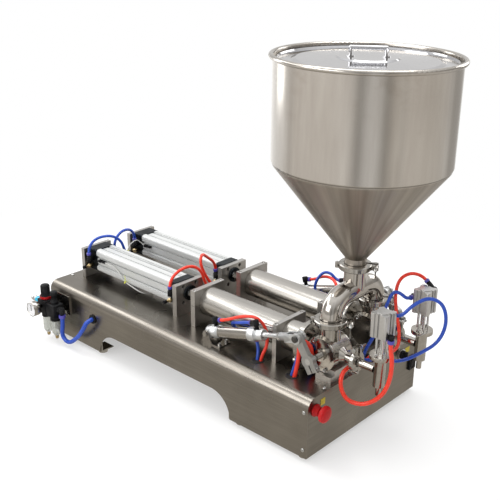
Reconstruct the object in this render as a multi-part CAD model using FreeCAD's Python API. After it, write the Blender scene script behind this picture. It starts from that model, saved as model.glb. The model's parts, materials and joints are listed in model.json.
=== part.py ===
import FreeCAD, Part
import math
import os

# Two-head horizontal paste filler. Millimetres, X towards the nozzles, Y to the far side,
# Z up. The origin is on the floor under the middle of the cabinet.

os.makedirs("parts", exist_ok=True)

# Cabinet
CAB_L = 953.0
CAB_W = 440.0
FOOT_H = 12.0
TOP_Z = 162.0
SHEET = 2.0
BEND_R = 24.0
ARCH_X0 = -260.5
ARCH_X1 = 237.5
ARCH_H = 63.0
FOOT_X = (-452.0, -278.0, 255.0, 452.0)
FOOT_Y = CAB_W / 2 - 23
FOOT_R = 15.0
FOOT_BOLT_R = 3.0

# Two working rows, mirrored about the middle plane
ROW_Y = 84.0
AXIS_Z = 218.0

# Drive cylinder, 50 mm bore
DRIVE_SIDE = 65.0
DRIVE_BORE_R = 25.0
PORT_X = (-409.0, -67.0)
COLLAR_Z = 236.0
REAR_PLATE_X = (-440.0, -427.0)
REAR_CAP_X = (-427.0, -391.0)
BARREL_X = (-391.0, -79.0)
FRONT_CAP_X = (-79.0, -55.0)
FRONT_PLATE_X = (-55.0, -40.0)
DRIVE_PLATE_W = 96.0
DRIVE_PLATE_TOP = 249.0
ROD_R = 10.0
NUT_X = -32.0
FRONT_BOSS_R = 20.5
AIR_PISTON_X = -388.0
PRODUCT_PISTON_X = 78.0
SENSOR_X = -378.0

# Product cylinder
TUBE_R = 38.0
TUBE_WALL = 2.0
TUBE_X = (21.0, 366.0)
CLAMP_PLATE_X = ((20.5, 35.5), (297.5, 309.5))
CLAMP_PLATE_W = 108.0
CLAMP_PLATE_TOP = 260.0
BIG_FERRULE_R = 45.5
BIG_T = 5.0

# Rotary valve
VALVE_X = 425.0
VALVE_R = 40.0
VALVE_BORE_R = 32.0
VALVE_HALF = 28.0
COVER_T = 6.0
PORT_R = 17.0
OUT_PORT_R = 8.0
SHAFT_R = 8.0
BOSS_R = 6.5
BOSS_RING_R = 36.0
BOSS_ANGLES = (118.0, -62.0)
BLOCK_REAR = 3.0
BLOCK_FRONT = 41.0
BLOCK_OUT = 44.0
BLOCK_IN = 24.0
BLOCK_DROP = 29.0

# Lever and its small cylinder
ACT_Y = 158.0
LEVER_T = 12.0
LEVER_R = 58.0
LEVER_REST = 124.0
PIVOT_X = 115.5
PIVOT_Z = 185.4
SMALL_ROD_R = 6.0
SMALL_CAP_R = 16.5
SMALL_CAP_START = -9.0
SMALL_TUBE_S = (34.0, 138.0)
SMALL_CAP_END = 182.0
REAR_PORT_S = 22.0
FRONT_PORT_S = 162.0
PIN_R = 4.0
CHEEK_Y = (17.5, 21.0)
FAR_SHIFT = 32.0

# Pipework, two inch tube
PIPE_R = 25.5
PIPE_WALL = 1.5
ELBOW_R = 45.0
TEE_Z = 345.0
ELBOW_CLAMP_Z = 292.0
HOPPER_CLAMP_Z = 404.0
PIPE_FERRULE_R = 32.0
FERRULE_T = 4.0

# Hopper
HOPPER_R = 199.5
HOPPER_WALL = 2.0
RIM_Z = 879.0
BOWL_H = 230.0
SEAM_Z = RIM_Z - BOWL_H
NECK_H = 21.0
CONE_Z = HOPPER_CLAMP_Z + NECK_H
RIM_BEAD = 5.5
LID_R = 191.0
LID_DROP = 14.0
LID_Z = RIM_Z - LID_DROP
LID_STEP_R = 150.0
LID_BOSS_R = 66.0
HANDLE_L = 84.0
HANDLE_H = 18.0
HANDLE_TURN = -49.5
GRIP_R = 4.5

# Nozzles
NOZZLE_X = 565.5
NOZZLE_R = 13.5
NOZZLE_Z = (180.0, 250.0)
TIP_Z = 157.0
TIP_R = 6.5
STEM_R = 4.0
CYL_SIDE = 42.0
CYL_Z = (304.0, 361.0)
OUT_PIPE_R = 9.5
OUT_CLAMP_X = 502.0
OUT_FERRULE_R = 17.0
OUT_T = 3.0
NOZZLE_BORE_R = 11.0
FLANGE_R = 25.5

# Front panel, in (Y, Z)
ESTOP = (27 - CAB_W / 2, 129.0)
ESTOP_TRAVEL = 5.0
SELECTOR = (CAB_W / 2 - 72, 135.0)
INLET = (CAB_W / 2 - 34, CAB_W / 2 - 6, 74.0, 110.0)

# Air service unit
REG_X = -456.0
LUB_X = -416.0
UNIT_Y = -(CAB_W / 2 + 32)
GAUGE_Z = 106.0
INLET_Z = 108.0
OUTLET_X = -383.0
OUTLET_Z = 94.0

# Hoses, and the holes they go down through: (X, Y, radius)
HOSE_R = 4.0
THICK_HOSE_R = 5.0
SUPPLY_HOSE_R = 6.0
TABLE_HOLES = ((-375.0, 0.0, 13.0), (-8.0, 0.0, 13.0), (458.0, 0.0, 13.0), (272.0, -158.0, 13.0),
               (377.0, -158.0, 13.0), (272.0, 190.0, 13.0), (377.0, 190.0, 13.0))
GROMMET = (-285.0, 105.0)

# Clearances
RUN = 0.06
SEAL = 0.1
GAP = 0.3

X = FreeCAD.Vector(1, 0, 0)
Y = FreeCAD.Vector(0, 1, 0)
Z = FreeCAD.Vector(0, 0, 1)


def vec(x, y, z):
    return FreeCAD.Vector(x, y, z)


def box(x0, x1, y0, y1, z0, z1):
    return Part.makeBox(x1 - x0, y1 - y0, z1 - z0, vec(x0, y0, z0))


def rod(start, direction, radius, length):
    return Part.makeCylinder(radius, length, start, direction)


def ring(start, direction, outer, inner, length):
    return rod(start, direction, outer, length).cut(rod(start, direction, inner, length))


def cone(start, direction, r1, r2, length):
    return Part.makeCone(r1, r2, length, start, direction)


def join(*solids):
    shape = solids[0].multiFuse(list(solids[1:]))
    return shape.removeSplitter()


def turned(profile, origin, axis):
    """Solid of revolution from (radius, height) points."""
    start = axis.cross(Z) if abs(axis.dot(Z)) < 0.9 else vec(1, 0, 0)
    start.normalize()
    points = [origin + start * r + axis * h for r, h in profile]
    face = Part.Face(Part.makePolygon(points + points[:1]))
    return face.revolve(origin, axis, 360)


def hexagon(origin, axis, across, height):
    """Hexagonal prism, the way a nut or a bolt head is cut."""
    side = axis.cross(Z) if abs(axis.dot(Z)) < 0.9 else vec(1, 0, 0)
    side.normalize()
    other = axis.cross(side)
    r = across / math.sqrt(3)
    points = []
    for k in range(6):
        a = math.radians(60 * k)
        points.append(origin + side * (r * math.cos(a)) + other * (r * math.sin(a)))
    return Part.Face(Part.makePolygon(points + points[:1])).extrude(axis * height)


def cap_screw(face, axis, size):
    """Socket head standing on a face: face point, outward axis, thread size."""
    head = rod(face, axis, size * 0.75, size * 0.9)
    return head.cut(hexagon(face + axis * (size * 0.4), axis, size * 0.7, size))


def dome_screw(face, axis, size):
    head = rod(face, axis, size * 0.95, size * 0.45)
    head = head.makeFillet(size * 0.35, [head.Edges[0]])
    return head.cut(hexagon(face + axis * (size * 0.2), axis, size * 0.5, size))


def far(shape):
    return shape.mirror(vec(0, 0, 0), Y)


def moved(shape, x, y, z):
    copy = shape.copy()
    copy.translate(vec(x, y, z))
    return copy


def far_out(shape):
    """The far lever and its cylinder stand further out than the near ones."""
    return moved(far(shape), 0, FAR_SHIFT, 0)


def both(*solids):
    return list(solids) + [far(s) for s in solids]


def save(name, *solids):
    shape = solids[0] if len(solids) == 1 else Part.makeCompound(list(solids))
    shape.exportStep("parts/" + name + ".step")


def polar(radius, degrees, cx, cz):
    a = math.radians(degrees)
    return cx + radius * math.cos(a), cz + radius * math.sin(a)


# Cabinet shell: one sheet bent down over both sides, with an arch cut in each skirt
half_w = CAB_W / 2
outer = box(-CAB_L / 2, CAB_L / 2, -half_w, half_w, FOOT_H, TOP_Z)
inner = box(-CAB_L / 2, CAB_L / 2, -half_w + SHEET, half_w - SHEET, FOOT_H - 1, TOP_Z - SHEET)


def long_top_edges(shape, z):
    return [e for e in shape.Edges
            if e.Length > CAB_L - 1 and abs(e.CenterOfMass.z - z) < 0.01]


outer = outer.makeFillet(BEND_R, long_top_edges(outer, TOP_Z))
inner = inner.makeFillet(BEND_R - SHEET, long_top_edges(inner, TOP_Z - SHEET))
shell = outer.cut(inner)

arch = box(ARCH_X0 + ARCH_H, ARCH_X1 - ARCH_H, -half_w - 1, half_w + 1, FOOT_H - 1, FOOT_H + ARCH_H)
for x in (ARCH_X0 + ARCH_H, ARCH_X1 - ARCH_H):
    corner = rod(vec(x, -half_w - 1, FOOT_H), Y, ARCH_H, CAB_W + 2)
    arch = arch.fuse(corner)
arch = arch.cut(box(ARCH_X0 - 9, ARCH_X1 + 9, -half_w - 2, half_w + 2, -90, FOOT_H - 1))
shell = shell.cut(arch)

for x, y, r in TABLE_HOLES:
    shell = shell.cut(rod(vec(x, y, TOP_Z - 5), Z, r, 10))
shell = shell.cut(rod(vec(GROMMET[0], -half_w - 5, GROMMET[1]), Y, 10, 10))
save("cabinet_shell", shell)

# End panels: plates set flush inside the shell, folded back on both sides
inside = half_w - SHEET


def end_panel(sign):
    x_out = sign * CAB_L / 2
    x_in = sign * (CAB_L / 2 - SHEET)
    x_back = sign * (CAB_L / 2 - 20)
    top = TOP_Z - SHEET
    plate = box(min(x_out, x_in), max(x_out, x_in), -inside, inside, FOOT_H, top)
    corners = [e for e in plate.Edges
               if abs(e.CenterOfMass.z - top) < 0.01 and abs(abs(e.CenterOfMass.y) - inside) < 0.01]
    plate = plate.makeFillet(BEND_R - SHEET + 0.5, corners)
    pieces = [plate]
    for y in (-inside, inside - SHEET):
        low = min(x_in, x_back)
        pieces.append(box(low, max(x_in, x_back), y, y + SHEET, FOOT_H + 3, TOP_Z - BEND_R - 2))
    low = min(x_in, x_back)
    pieces.append(box(low, max(x_in, x_back), -inside + 30, inside - 30, top - SHEET, top))
    return join(*pieces)


front_x = CAB_L / 2
front = end_panel(1)
front = front.cut(rod(vec(front_x - 5, ESTOP[0], ESTOP[1]), X, 11, 10))
front = front.cut(rod(vec(front_x - 5, SELECTOR[0], SELECTOR[1]), X, 11, 10))
for x, y, r in TABLE_HOLES:
    front = front.cut(rod(vec(x, y, TOP_Z - 5), Z, r, 10))
save("cabinet_front_panel", front)
save("cabinet_rear_panel", end_panel(-1))

# Rubber feet with a recessed bolt hole
feet = []
for x in FOOT_X:
    for y in (-FOOT_Y, FOOT_Y):
        foot = cone(vec(x, y, 0), Z, FOOT_R - 2.5, FOOT_R, FOOT_H)
        foot = foot.cut(rod(vec(x, y, -1), Z, FOOT_BOLT_R, FOOT_H + 2))
        feet.append(foot)

# Leg brackets that carry the feet
brackets = []
for x in FOOT_X:
    for y in (-FOOT_Y, FOOT_Y):
        side = 1 if y > 0 else -1
        y_wall = side * inside
        y_in = y_wall - side * 42
        tray = box(x - 20, x + 20, min(y_wall, y_in), max(y_wall, y_in), FOOT_H, FOOT_H + 3)
        rib_x = x - math.copysign(10, x)
        rib = box(rib_x - 12, rib_x + 12, min(y_wall, y_wall - side * 3), max(y_wall, y_wall - side * 3),
                  FOOT_H, FOOT_H + 30)
        tray = join(tray, rib).cut(rod(vec(x, y, 0), Z, FOOT_BOLT_R, 30))
        brackets.append(tray)
save("cabinet_feet", *(feet + brackets))

# Drive plates, drilled for the cylinder and counterbored for four screws
screws = []


def drive_plate(x0, x1, bore):
    w = DRIVE_PLATE_W / 2
    plate = box(x0, x1, -ROW_Y - w, -ROW_Y + w, TOP_Z, DRIVE_PLATE_TOP)
    if bore:
        plate = plate.cut(rod(vec(x0 - 1, -ROW_Y, AXIS_Z), X, bore, x1 - x0 + 2))
    for dy in (-22.5, 22.5):
        for dz in (-22.5, 22.5):
            y = -ROW_Y + dy
            z = AXIS_Z + dz
            if z < DRIVE_PLATE_TOP - 3:
                plate = plate.cut(rod(vec(x1 - 9, y, z), X, 5.5, 11))
                screws.extend(both(cap_screw(vec(x1 - 9, y, z), X, 5.6)))
    return plate


rear_plate = drive_plate(REAR_PLATE_X[0], REAR_PLATE_X[1], 0)
front_plate = drive_plate(FRONT_PLATE_X[0], FRONT_PLATE_X[1], FRONT_BOSS_R + 0.5)
save("drive_plates", *both(rear_plate, front_plate))


def drive_section(x0, x1, corner, grooved):
    """Square cylinder section, with the hollows and slots of a profile barrel."""
    s = DRIVE_SIDE / 2
    body = box(x0, x1, -ROW_Y - s, -ROW_Y + s, AXIS_Z - s, AXIS_Z + s)
    edges = [e for e in body.Edges if abs(e.Length - (x1 - x0)) < 0.01
             and abs(abs(e.CenterOfMass.y + ROW_Y) - s) < 0.01]
    body = body.makeFillet(corner, edges)
    if not grooved:
        return body
    for k in range(4):
        hollow = box(x0 - 1, x1 + 1, -16, 16, s - 3, s + 5)
        slot = box(x0 - 1, x1 + 1, 8.5, 12.5, s - 7, s + 1)
        slot = slot.fuse(box(x0 - 1, x1 + 1, -12.5, -8.5, s - 7, s + 1))
        cutter = hollow.fuse(slot)
        cutter.rotate(vec(0, 0, 0), X, 90 * k)
        body = body.cut(moved(cutter, 0, -ROW_Y, AXIS_Z))
    return body.cut(rod(vec(x0 - 1, -ROW_Y, AXIS_Z), X, DRIVE_BORE_R, x1 - x0 + 2))


barrel = drive_section(BARREL_X[0], BARREL_X[1], 8, True)
save("drive_barrels", *both(barrel))

rear_cap = drive_section(REAR_CAP_X[0], REAR_CAP_X[1], 5, False)
front_cap = drive_section(FRONT_CAP_X[0], FRONT_CAP_X[1], 5, False)
front_cap = front_cap.fuse(rod(vec(FRONT_CAP_X[1] - 1, -ROW_Y, AXIS_Z), X, FRONT_BOSS_R, 20))
front_cap = front_cap.cut(rod(vec(-90, -ROW_Y, AXIS_Z), X, ROD_R + RUN, 100))
caps = [rear_cap, front_cap]

# Piston rod with its two pistons and the coupling nut between the cylinders
rod_len = PRODUCT_PISTON_X - AIR_PISTON_X - 20
ram_rod = rod(vec(AIR_PISTON_X + 20, -ROW_Y, AXIS_Z), X, ROD_R, rod_len)
air_piston = turned([(0, 0), (24.4, 0), (24.4, 4), (23, 4), (23, 6), (DRIVE_BORE_R - SEAL, 6),
                     (DRIVE_BORE_R - SEAL, 14), (23, 14), (23, 16), (24.4, 16), (24.4, 20), (0, 20)],
                    vec(AIR_PISTON_X, -ROW_Y, AXIS_Z), X)
bore_r = TUBE_R - TUBE_WALL
product_piston = turned([(0, 0), (35.2, 0), (35.2, 4), (34, 4), (34, 6), (bore_r - SEAL, 6),
                         (bore_r - SEAL, 12), (34, 12), (34, 16), (bore_r - SEAL, 16),
                         (bore_r - SEAL, 22), (34, 22), (34, 24), (35.2, 24), (35.2, 28), (0, 28)],
                        vec(PRODUCT_PISTON_X, -ROW_Y, AXIS_Z), X)
nut = hexagon(vec(NUT_X, -ROW_Y, AXIS_Z), X, 27, 18)
nut = nut.cut(rod(vec(NUT_X - 1, -ROW_Y, AXIS_Z), X, ROD_R + GAP, 30))
near_ram = [ram_rod, air_piston, product_piston, nut]
save("near_ram", *near_ram)
save("far_ram", *[far(s) for s in near_ram])

# Product tube with a rolled ferrule on its front end, held in two split plates
tube = ring(vec(TUBE_X[0], -ROW_Y, AXIS_Z), X, TUBE_R, bore_r, TUBE_X[1] - TUBE_X[0])
flange = ring(vec(TUBE_X[1] - BIG_T, -ROW_Y, AXIS_Z), X, BIG_FERRULE_R, bore_r, BIG_T)
save("product_tubes", *both(join(tube, flange)))

halves = []
for x0, x1 in CLAMP_PLATE_X:
    w = CLAMP_PLATE_W / 2
    hole = rod(vec(x0 - 1, -ROW_Y, AXIS_Z), X, TUBE_R + GAP, x1 - x0 + 2)
    lower = box(x0, x1, -ROW_Y - w, -ROW_Y + w, TOP_Z, AXIS_Z - 0.5)
    upper = box(x0, x1, -ROW_Y - w, -ROW_Y + w, AXIS_Z + 0.5, CLAMP_PLATE_TOP)
    for y in (-ROW_Y - w + 8, -ROW_Y + w - 8):
        well = rod(vec((x0 + x1) / 2, y, CLAMP_PLATE_TOP - 7), Z, 4.6, 9)
        upper = upper.cut(well)
        screws.extend(both(cap_screw(vec((x0 + x1) / 2, y, CLAMP_PLATE_TOP - 7), Z, 5.2)))
    halves.extend([lower.cut(hole), upper.cut(hole)])
save("tube_clamp_plates", *both(*halves))


def placed(shape, origin, along, ear):
    """Moves a part drawn on the Z axis to an origin, its axis and its +X side turned."""
    side = along.cross(ear)
    m = FreeCAD.Matrix(ear.x, side.x, along.x, origin.x, ear.y, side.y, along.y, origin.y,
                       ear.z, side.z, along.z, origin.z, 0, 0, 0, 1)
    copy = shape.copy()
    copy.Placement = FreeCAD.Placement(m)
    return copy


def pipe_clamp(ferrule_r, ferrule_t):
    """Two-piece pipe clamp on the Z axis: two halves, hinge pin and T bolt."""
    h = ferrule_t + 3
    lip = ferrule_r - 4.5
    band = turned([(lip, -h), (ferrule_r + 5, -h), (ferrule_r + 7, -h + 2), (ferrule_r + 7, h - 2),
                   (ferrule_r + 5, h), (lip, h), (lip, ferrule_t + 0.2),
                   (ferrule_r + GAP, ferrule_t + 0.2), (ferrule_r + GAP, -ferrule_t - 0.2),
                   (lip, -ferrule_t - 0.2)], vec(0, 0, 0), Z)
    bolt_x = ferrule_r + 14
    hinge_x = -ferrule_r - 10
    halves = []
    for sign in (-1, 1):
        y0, y1 = sorted((sign * 4, sign * 90))
        keep = box(0, 200, y0, y1, -20, 20)
        y0, y1 = sorted((sign * 0.4, sign * 90))
        half = band.common(keep.fuse(box(-200, 0, y0, y1, -20, 20)))
        y0, y1 = sorted((sign * 4, sign * 11))
        ear = box(ferrule_r + 3, bolt_x + 7, y0, y1, -6, 6)
        ear = ear.cut(rod(vec(0, 0, 0), Z, ferrule_r + 2, 12).fuse(
            rod(vec(0, 0, -7), Z, ferrule_r + 2, 8)))
        half = half.fuse(ear)
        knuckle = rod(vec(hinge_x, 0, -h), Z, 4.5, 2 * h)
        arm = box(hinge_x, -ferrule_r - 3, min(0, sign * 4.5), max(0, sign * 4.5), -h, h)
        knuckle = knuckle.fuse(arm)
        if sign > 0:
            knuckle = knuckle.common(box(-200, 0, -20, 20, -2.3, 2.3))
            half = half.cut(box(hinge_x - 5, -ferrule_r - 3, -5, 5, -h - 1, h + 1))
        else:
            middle = box(-200, 0, -20, 20, -2.6, 2.6)
            knuckle = knuckle.cut(middle)
            half = half.cut(box(hinge_x - 5, -ferrule_r - 3, -5, 5, -h - 1, h + 1))
        half = half.fuse(knuckle)
        half = half.cut(rod(vec(hinge_x, 0, -h - 1), Z, 2.3, 2 * h + 2))
        half = half.cut(rod(vec(bolt_x, -20, 0), Y, 3 + GAP, 40))
        halves.append(half.removeSplitter())
    pin = rod(vec(hinge_x, 0, -h - 0.5), Z, 2, 2 * h + 1)
    bolt = rod(vec(bolt_x, -30, 0), Y, 3, 41).fuse(hexagon(vec(bolt_x, 11, 0), Y, 10, 4))
    return halves, [pin, bolt.removeSplitter()]


def wing_nut(ferrule_r, turn):
    """Wing nut on the T bolt of a pipe clamp drawn on the Z axis, turned about the bolt."""
    bolt_x = ferrule_r + 14
    hub = cone(vec(bolt_x, -11.2, 0), -Y, 7, 5.5, 9)
    body = hub
    for sign in (-1, 1):
        points = [vec(bolt_x, -12.5, sign * 3), vec(bolt_x, -17, sign * 9),
                  vec(bolt_x, -33, sign * 21), vec(bolt_x, -38, sign * 23),
                  vec(bolt_x, -41, sign * 21), vec(bolt_x, -39, sign * 15), vec(bolt_x, -22, sign * 3)]
        wing = Part.Face(Part.makePolygon(points + points[:1])).extrude(vec(3, 0, 0))
        body = body.fuse(moved(wing, -1.5, 0, 0))
    body = body.removeSplitter().cut(rod(vec(bolt_x, -60, 0), Y, 3 + RUN, 60))
    body.rotate(vec(bolt_x, 0, 0), Y, turn)
    return body


def hex_nut(ferrule_r):
    bolt_x = ferrule_r + 14
    nut = hexagon(vec(bolt_x, -16, 0), Y, 10, 5)
    return nut.cut(rod(vec(bolt_x, -20, 0), Y, 3 + GAP, 20))


clamp_halves = []
ear_angle = math.radians(35)
ear = vec(math.cos(ear_angle), math.sin(ear_angle), 0)
two_inch, two_inch_bolts = pipe_clamp(PIPE_FERRULE_R, FERRULE_T)
for name, turn, origin in (("hopper", 55, vec(VALVE_X, 0, HOPPER_CLAMP_Z)),
                           ("near", 20, vec(VALVE_X, -ROW_Y, ELBOW_CLAMP_Z)),
                           ("far", 90, vec(VALVE_X, ROW_Y, ELBOW_CLAMP_Z))):
    clamp_halves.extend([placed(s, origin, Z, ear) for s in two_inch])
    screws.extend([placed(s, origin, Z, ear) for s in two_inch_bolts])
    save(name + "_wing_nut", placed(wing_nut(PIPE_FERRULE_R, turn), origin, Z, ear))

ear_tilt = math.radians(35)
upward = vec(0, math.cos(ear_tilt), math.sin(ear_tilt))
for ferrule_r, ferrule_t, x, ear in ((BIG_FERRULE_R, BIG_T, TUBE_X[1], upward),
                                     (OUT_FERRULE_R, OUT_T, OUT_CLAMP_X, Z)):
    pair, bolts = pipe_clamp(ferrule_r, ferrule_t)
    for y in (-ROW_Y, ROW_Y):
        origin = vec(x, y, AXIS_Z)
        clamp_halves.extend([placed(s, origin, X, ear) for s in pair])
        screws.extend([placed(s, origin, X, ear) for s in bolts + [hex_nut(ferrule_r)]])
save("pipe_clamps", *clamp_halves)

# Rotary valve body with its three necks
at_valve = vec(VALVE_X, -ROW_Y, AXIS_Z)
body = rod(at_valve - Y * VALVE_HALF, Y, VALVE_R, 2 * VALVE_HALF)
neck_top = ELBOW_CLAMP_Z - AXIS_Z
body = body.fuse(rod(at_valve, Z, PIPE_R, neck_top))
body = body.fuse(rod(at_valve + Z * (neck_top - FERRULE_T), Z, PIPE_FERRULE_R, FERRULE_T))
rear_face = VALVE_X - TUBE_X[1]
body = body.fuse(rod(at_valve - X * rear_face, X, 26, rear_face))
body = body.fuse(rod(at_valve - X * rear_face, X, BIG_FERRULE_R, BIG_T))
out_face = OUT_CLAMP_X - VALVE_X
body = body.fuse(rod(at_valve, X, OUT_PIPE_R, out_face))
body = body.fuse(rod(at_valve + X * (out_face - OUT_T), X, OUT_FERRULE_R, OUT_T))
body = body.fuse(cone(at_valve + X * 36, X, 20, OUT_PIPE_R, 14))
valve_bore = rod(at_valve - Y * VALVE_R, Y, VALVE_BORE_R, 2 * VALVE_R)
body = body.cut(valve_bore)
body = body.cut(rod(at_valve, Z, PORT_R, 40))
body = body.cut(rod(at_valve + Z * 40, Z, PIPE_R - PIPE_WALL, 60))
body = body.cut(rod(at_valve - X * 90, X, PORT_R, 90))
body = body.cut(rod(at_valve, X, OUT_PORT_R, 120))
cover = rod(at_valve - Y * (VALVE_HALF + COVER_T), Y, VALVE_R, COVER_T)
cover = cover.cut(rod(at_valve - Y * (VALVE_HALF + COVER_T + 1), Y, 30, 3))
near_cover = cover.cut(rod(at_valve - Y * 60, Y, SHAFT_R + RUN, 40))
near_cover = near_cover.fuse(ring(at_valve - Y * (VALVE_HALF + COVER_T + 4), Y, 14, SHAFT_R + RUN, 6))
inner_cover = rod(at_valve + Y * VALVE_HALF, Y, VALVE_R, COVER_T)
for degrees in BOSS_ANGLES:
    x, z = polar(BOSS_RING_R, degrees, VALVE_X, AXIS_Z)
    body = body.fuse(rod(vec(x, -ROW_Y - VALVE_HALF, z), Y, BOSS_R, 2 * VALVE_HALF))
    near_cover = near_cover.fuse(rod(vec(x, -ROW_Y - VALVE_HALF - COVER_T, z), Y, BOSS_R, COVER_T))
    inner_cover = inner_cover.fuse(rod(vec(x, -ROW_Y + VALVE_HALF, z), Y, BOSS_R, COVER_T))
    screws.extend(both(cap_screw(vec(x, -ROW_Y - VALVE_HALF - COVER_T, z), -Y, 6)))
    screws.extend(both(cap_screw(vec(x, -ROW_Y + VALVE_HALF + COVER_T, z), Y, 6)))
body = body.cut(valve_bore)
save("valve_bodies", *both(body.removeSplitter()))
save("valve_covers", *both(near_cover.removeSplitter(), inner_cover.removeSplitter()))

# Valve block on the table
block = box(VALVE_X - BLOCK_REAR, VALVE_X + BLOCK_FRONT, -ROW_Y - BLOCK_OUT, -ROW_Y + BLOCK_IN,
            TOP_Z, AXIS_Z - BLOCK_DROP)
block = block.cut(rod(at_valve - Y * 60, Y, VALVE_R + GAP, 120))
for degrees in BOSS_ANGLES:
    x, z = polar(BOSS_RING_R, degrees, VALVE_X, AXIS_Z)
    block = block.cut(rod(vec(x, -ROW_Y - 60, z), Y, BOSS_R + GAP, 120))
step = box(VALVE_X - BLOCK_REAR, VALVE_X + BLOCK_FRONT + 1, -ROW_Y - 60, -ROW_Y - 30,
           AXIS_Z - BLOCK_DROP - 12, AXIS_Z)
block = block.cut(step)
save("valve_blocks", *both(block))

# Valve spool: two end discs and the gate that shuts one port at a time
r = VALVE_BORE_R - RUN
spool = rod(at_valve - Y * (VALVE_HALF - 0.2), Y, r, 2 * (VALVE_HALF - 0.2))
window = box(VALVE_X - 40, VALVE_X + 40, -ROW_Y - 20, -ROW_Y + 20, AXIS_Z - 60, AXIS_Z + 22)
window.rotate(at_valve, Y, 10)
spool = spool.cut(window)
core = rod(at_valve - Y * VALVE_HALF * 0.9, Y, 7, 2 * VALVE_HALF * 0.9)
shaft_len = ACT_Y + LEVER_T / 2 - ROW_Y - VALVE_HALF
shaft_root = at_valve - Y * (VALVE_HALF - 1)
spool = join(spool, core)
save("near_valve_spool", join(spool, rod(shaft_root, -Y, SHAFT_R, shaft_len + 1)))
save("far_valve_spool", far(join(spool, rod(shaft_root, -Y, SHAFT_R, shaft_len + FAR_SHIFT + 1))))

# Lever: a flat arm with a split hub and its clamping screw, drawn upright then turned
y0 = -ACT_Y - LEVER_T / 2
lever = rod(vec(0, y0, 0), Y, 17, LEVER_T)
lever = lever.fuse(box(-15, 15, y0, y0 + LEVER_T, -28, 0))
lever = lever.fuse(box(-10, 10, y0, y0 + LEVER_T, 0, LEVER_R))
lever = lever.fuse(rod(vec(0, y0, LEVER_R), Y, 10, LEVER_T)).removeSplitter()
lever = lever.cut(rod(vec(0, y0 - 1, 0), Y, SHAFT_R + GAP, LEVER_T + 2))
lever = lever.cut(rod(vec(0, y0 - 1, LEVER_R), Y, 5, LEVER_T + 2))
lever = lever.cut(box(-1.5, 1.5, y0 - 1, y0 + LEVER_T + 1, -30, -5))
lever = lever.cut(rod(vec(-20, -ACT_Y, -21), X, 2.8, 40))
pinch = rod(vec(-15, -ACT_Y, -21), X, 2.5, 30).fuse(cap_screw(vec(15, -ACT_Y, -21), X, 5.4))
lever_parts = []
for s in (lever, pinch.removeSplitter()):
    s.rotate(vec(0, 0, 0), Y, 90 - LEVER_REST)
    lever_parts.append(moved(s, VALVE_X, 0, AXIS_Z))
save("near_valve_lever", *lever_parts)
save("far_valve_lever", *[far_out(s) for s in lever_parts])

# Small cylinder that turns the lever, drawn along X from its rear pivot
pin_x, pin_z = polar(LEVER_R, LEVER_REST, VALVE_X, AXIS_Z)
reach = math.hypot(pin_x - PIVOT_X, pin_z - PIVOT_Z)
slope = math.degrees(math.atan2(pin_z - PIVOT_Z, pin_x - PIVOT_X))
cap_r = SMALL_CAP_R
rear_small = turned([(0, SMALL_CAP_START), (cap_r - 4, SMALL_CAP_START), (cap_r, SMALL_CAP_START + 4),
                     (cap_r, SMALL_TUBE_S[0]), (0, SMALL_TUBE_S[0])], vec(0, 0, 0), X)
rear_small = rear_small.cut(rod(vec(0, -cap_r - 1, 0), Y, PIN_R + RUN, 2 * cap_r + 2))
small_tube = ring(vec(SMALL_TUBE_S[0], 0, 0), X, 15, 13.8, SMALL_TUBE_S[1] - SMALL_TUBE_S[0])
front_small = turned([(SMALL_ROD_R + RUN, SMALL_TUBE_S[1]), (17.5, SMALL_TUBE_S[1]),
                      (17.5, SMALL_TUBE_S[1] + 19), (16, SMALL_TUBE_S[1] + 21),
                      (14.5, SMALL_TUBE_S[1] + 21), (14.5, SMALL_CAP_END - 4), (13, SMALL_CAP_END),
                      (SMALL_ROD_R + RUN, SMALL_CAP_END)], vec(0, 0, 0), X)
elbows = []
for s_at, sign, radius in ((REAR_PORT_S, 1, SMALL_CAP_R), (FRONT_PORT_S, -1, 14.5)):
    stem = rod(vec(s_at, 0, radius - 0.5), Z, 5, 12)
    knee = rod(vec(s_at, 0, radius + 7), Z, 7.5, 14)
    arm = rod(vec(s_at, 0, radius + 14), X * sign, 6.5, 15)
    elbows.append(join(stem, knee, arm))
rear_small = rear_small.cut(rod(vec(REAR_PORT_S, 0, 12), Z, 5 + GAP, 10))
front_small = front_small.cut(rod(vec(FRONT_PORT_S, 0, 12), Z, 5 + GAP, 10))
barrel_parts = [rear_small.removeSplitter(), small_tube, front_small] + elbows

# Its rod: piston, lock nut and a fork whose pin is cut short of the lever
PRONG_GAP = LEVER_T / 2 + 0.5
slot_s = reach - 30
fork = rod(vec(reach - 54, 0, 0), X, 9.5, 26)
fork = fork.fuse(box(reach - 34, reach, -12.5, 12.5, -9.5, 9.5))
fork = fork.fuse(rod(vec(reach, -12.5, 0), Y, 12.5, 25))
fork = fork.cut(box(slot_s, reach + 20, -PRONG_GAP, PRONG_GAP, -20, 20))
fork = fork.cut(rod(vec(reach - 60, 0, 0), X, SMALL_ROD_R + GAP, 29)).removeSplitter()
fork = fork.cut(rod(vec(reach, -20, 0), Y, 5 + GAP, 40))
pins = []
for sign in (-1, 1):
    pin = rod(vec(reach, sign * PRONG_GAP, 0), Y * sign, 5, 12.5 - PRONG_GAP + 1)
    pins.append(pin.fuse(rod(vec(reach, sign * 12.7, 0), Y * sign, 8, 3)).removeSplitter())
slide = rod(vec(SMALL_TUBE_S[0] + 12, 0, 0), X, SMALL_ROD_R, reach - 32 - SMALL_TUBE_S[0] - 12)
small_piston = rod(vec(SMALL_TUBE_S[0] + 2, 0, 0), X, 13.8 - SEAL, 10)
lock_nut = hexagon(vec(reach - 61, 0, 0), X, 17, 6)
lock_nut = lock_nut.cut(rod(vec(reach - 62, 0, 0), X, SMALL_ROD_R + GAP, 8))
rod_parts = [slide, small_piston, fork, lock_nut] + pins
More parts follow.
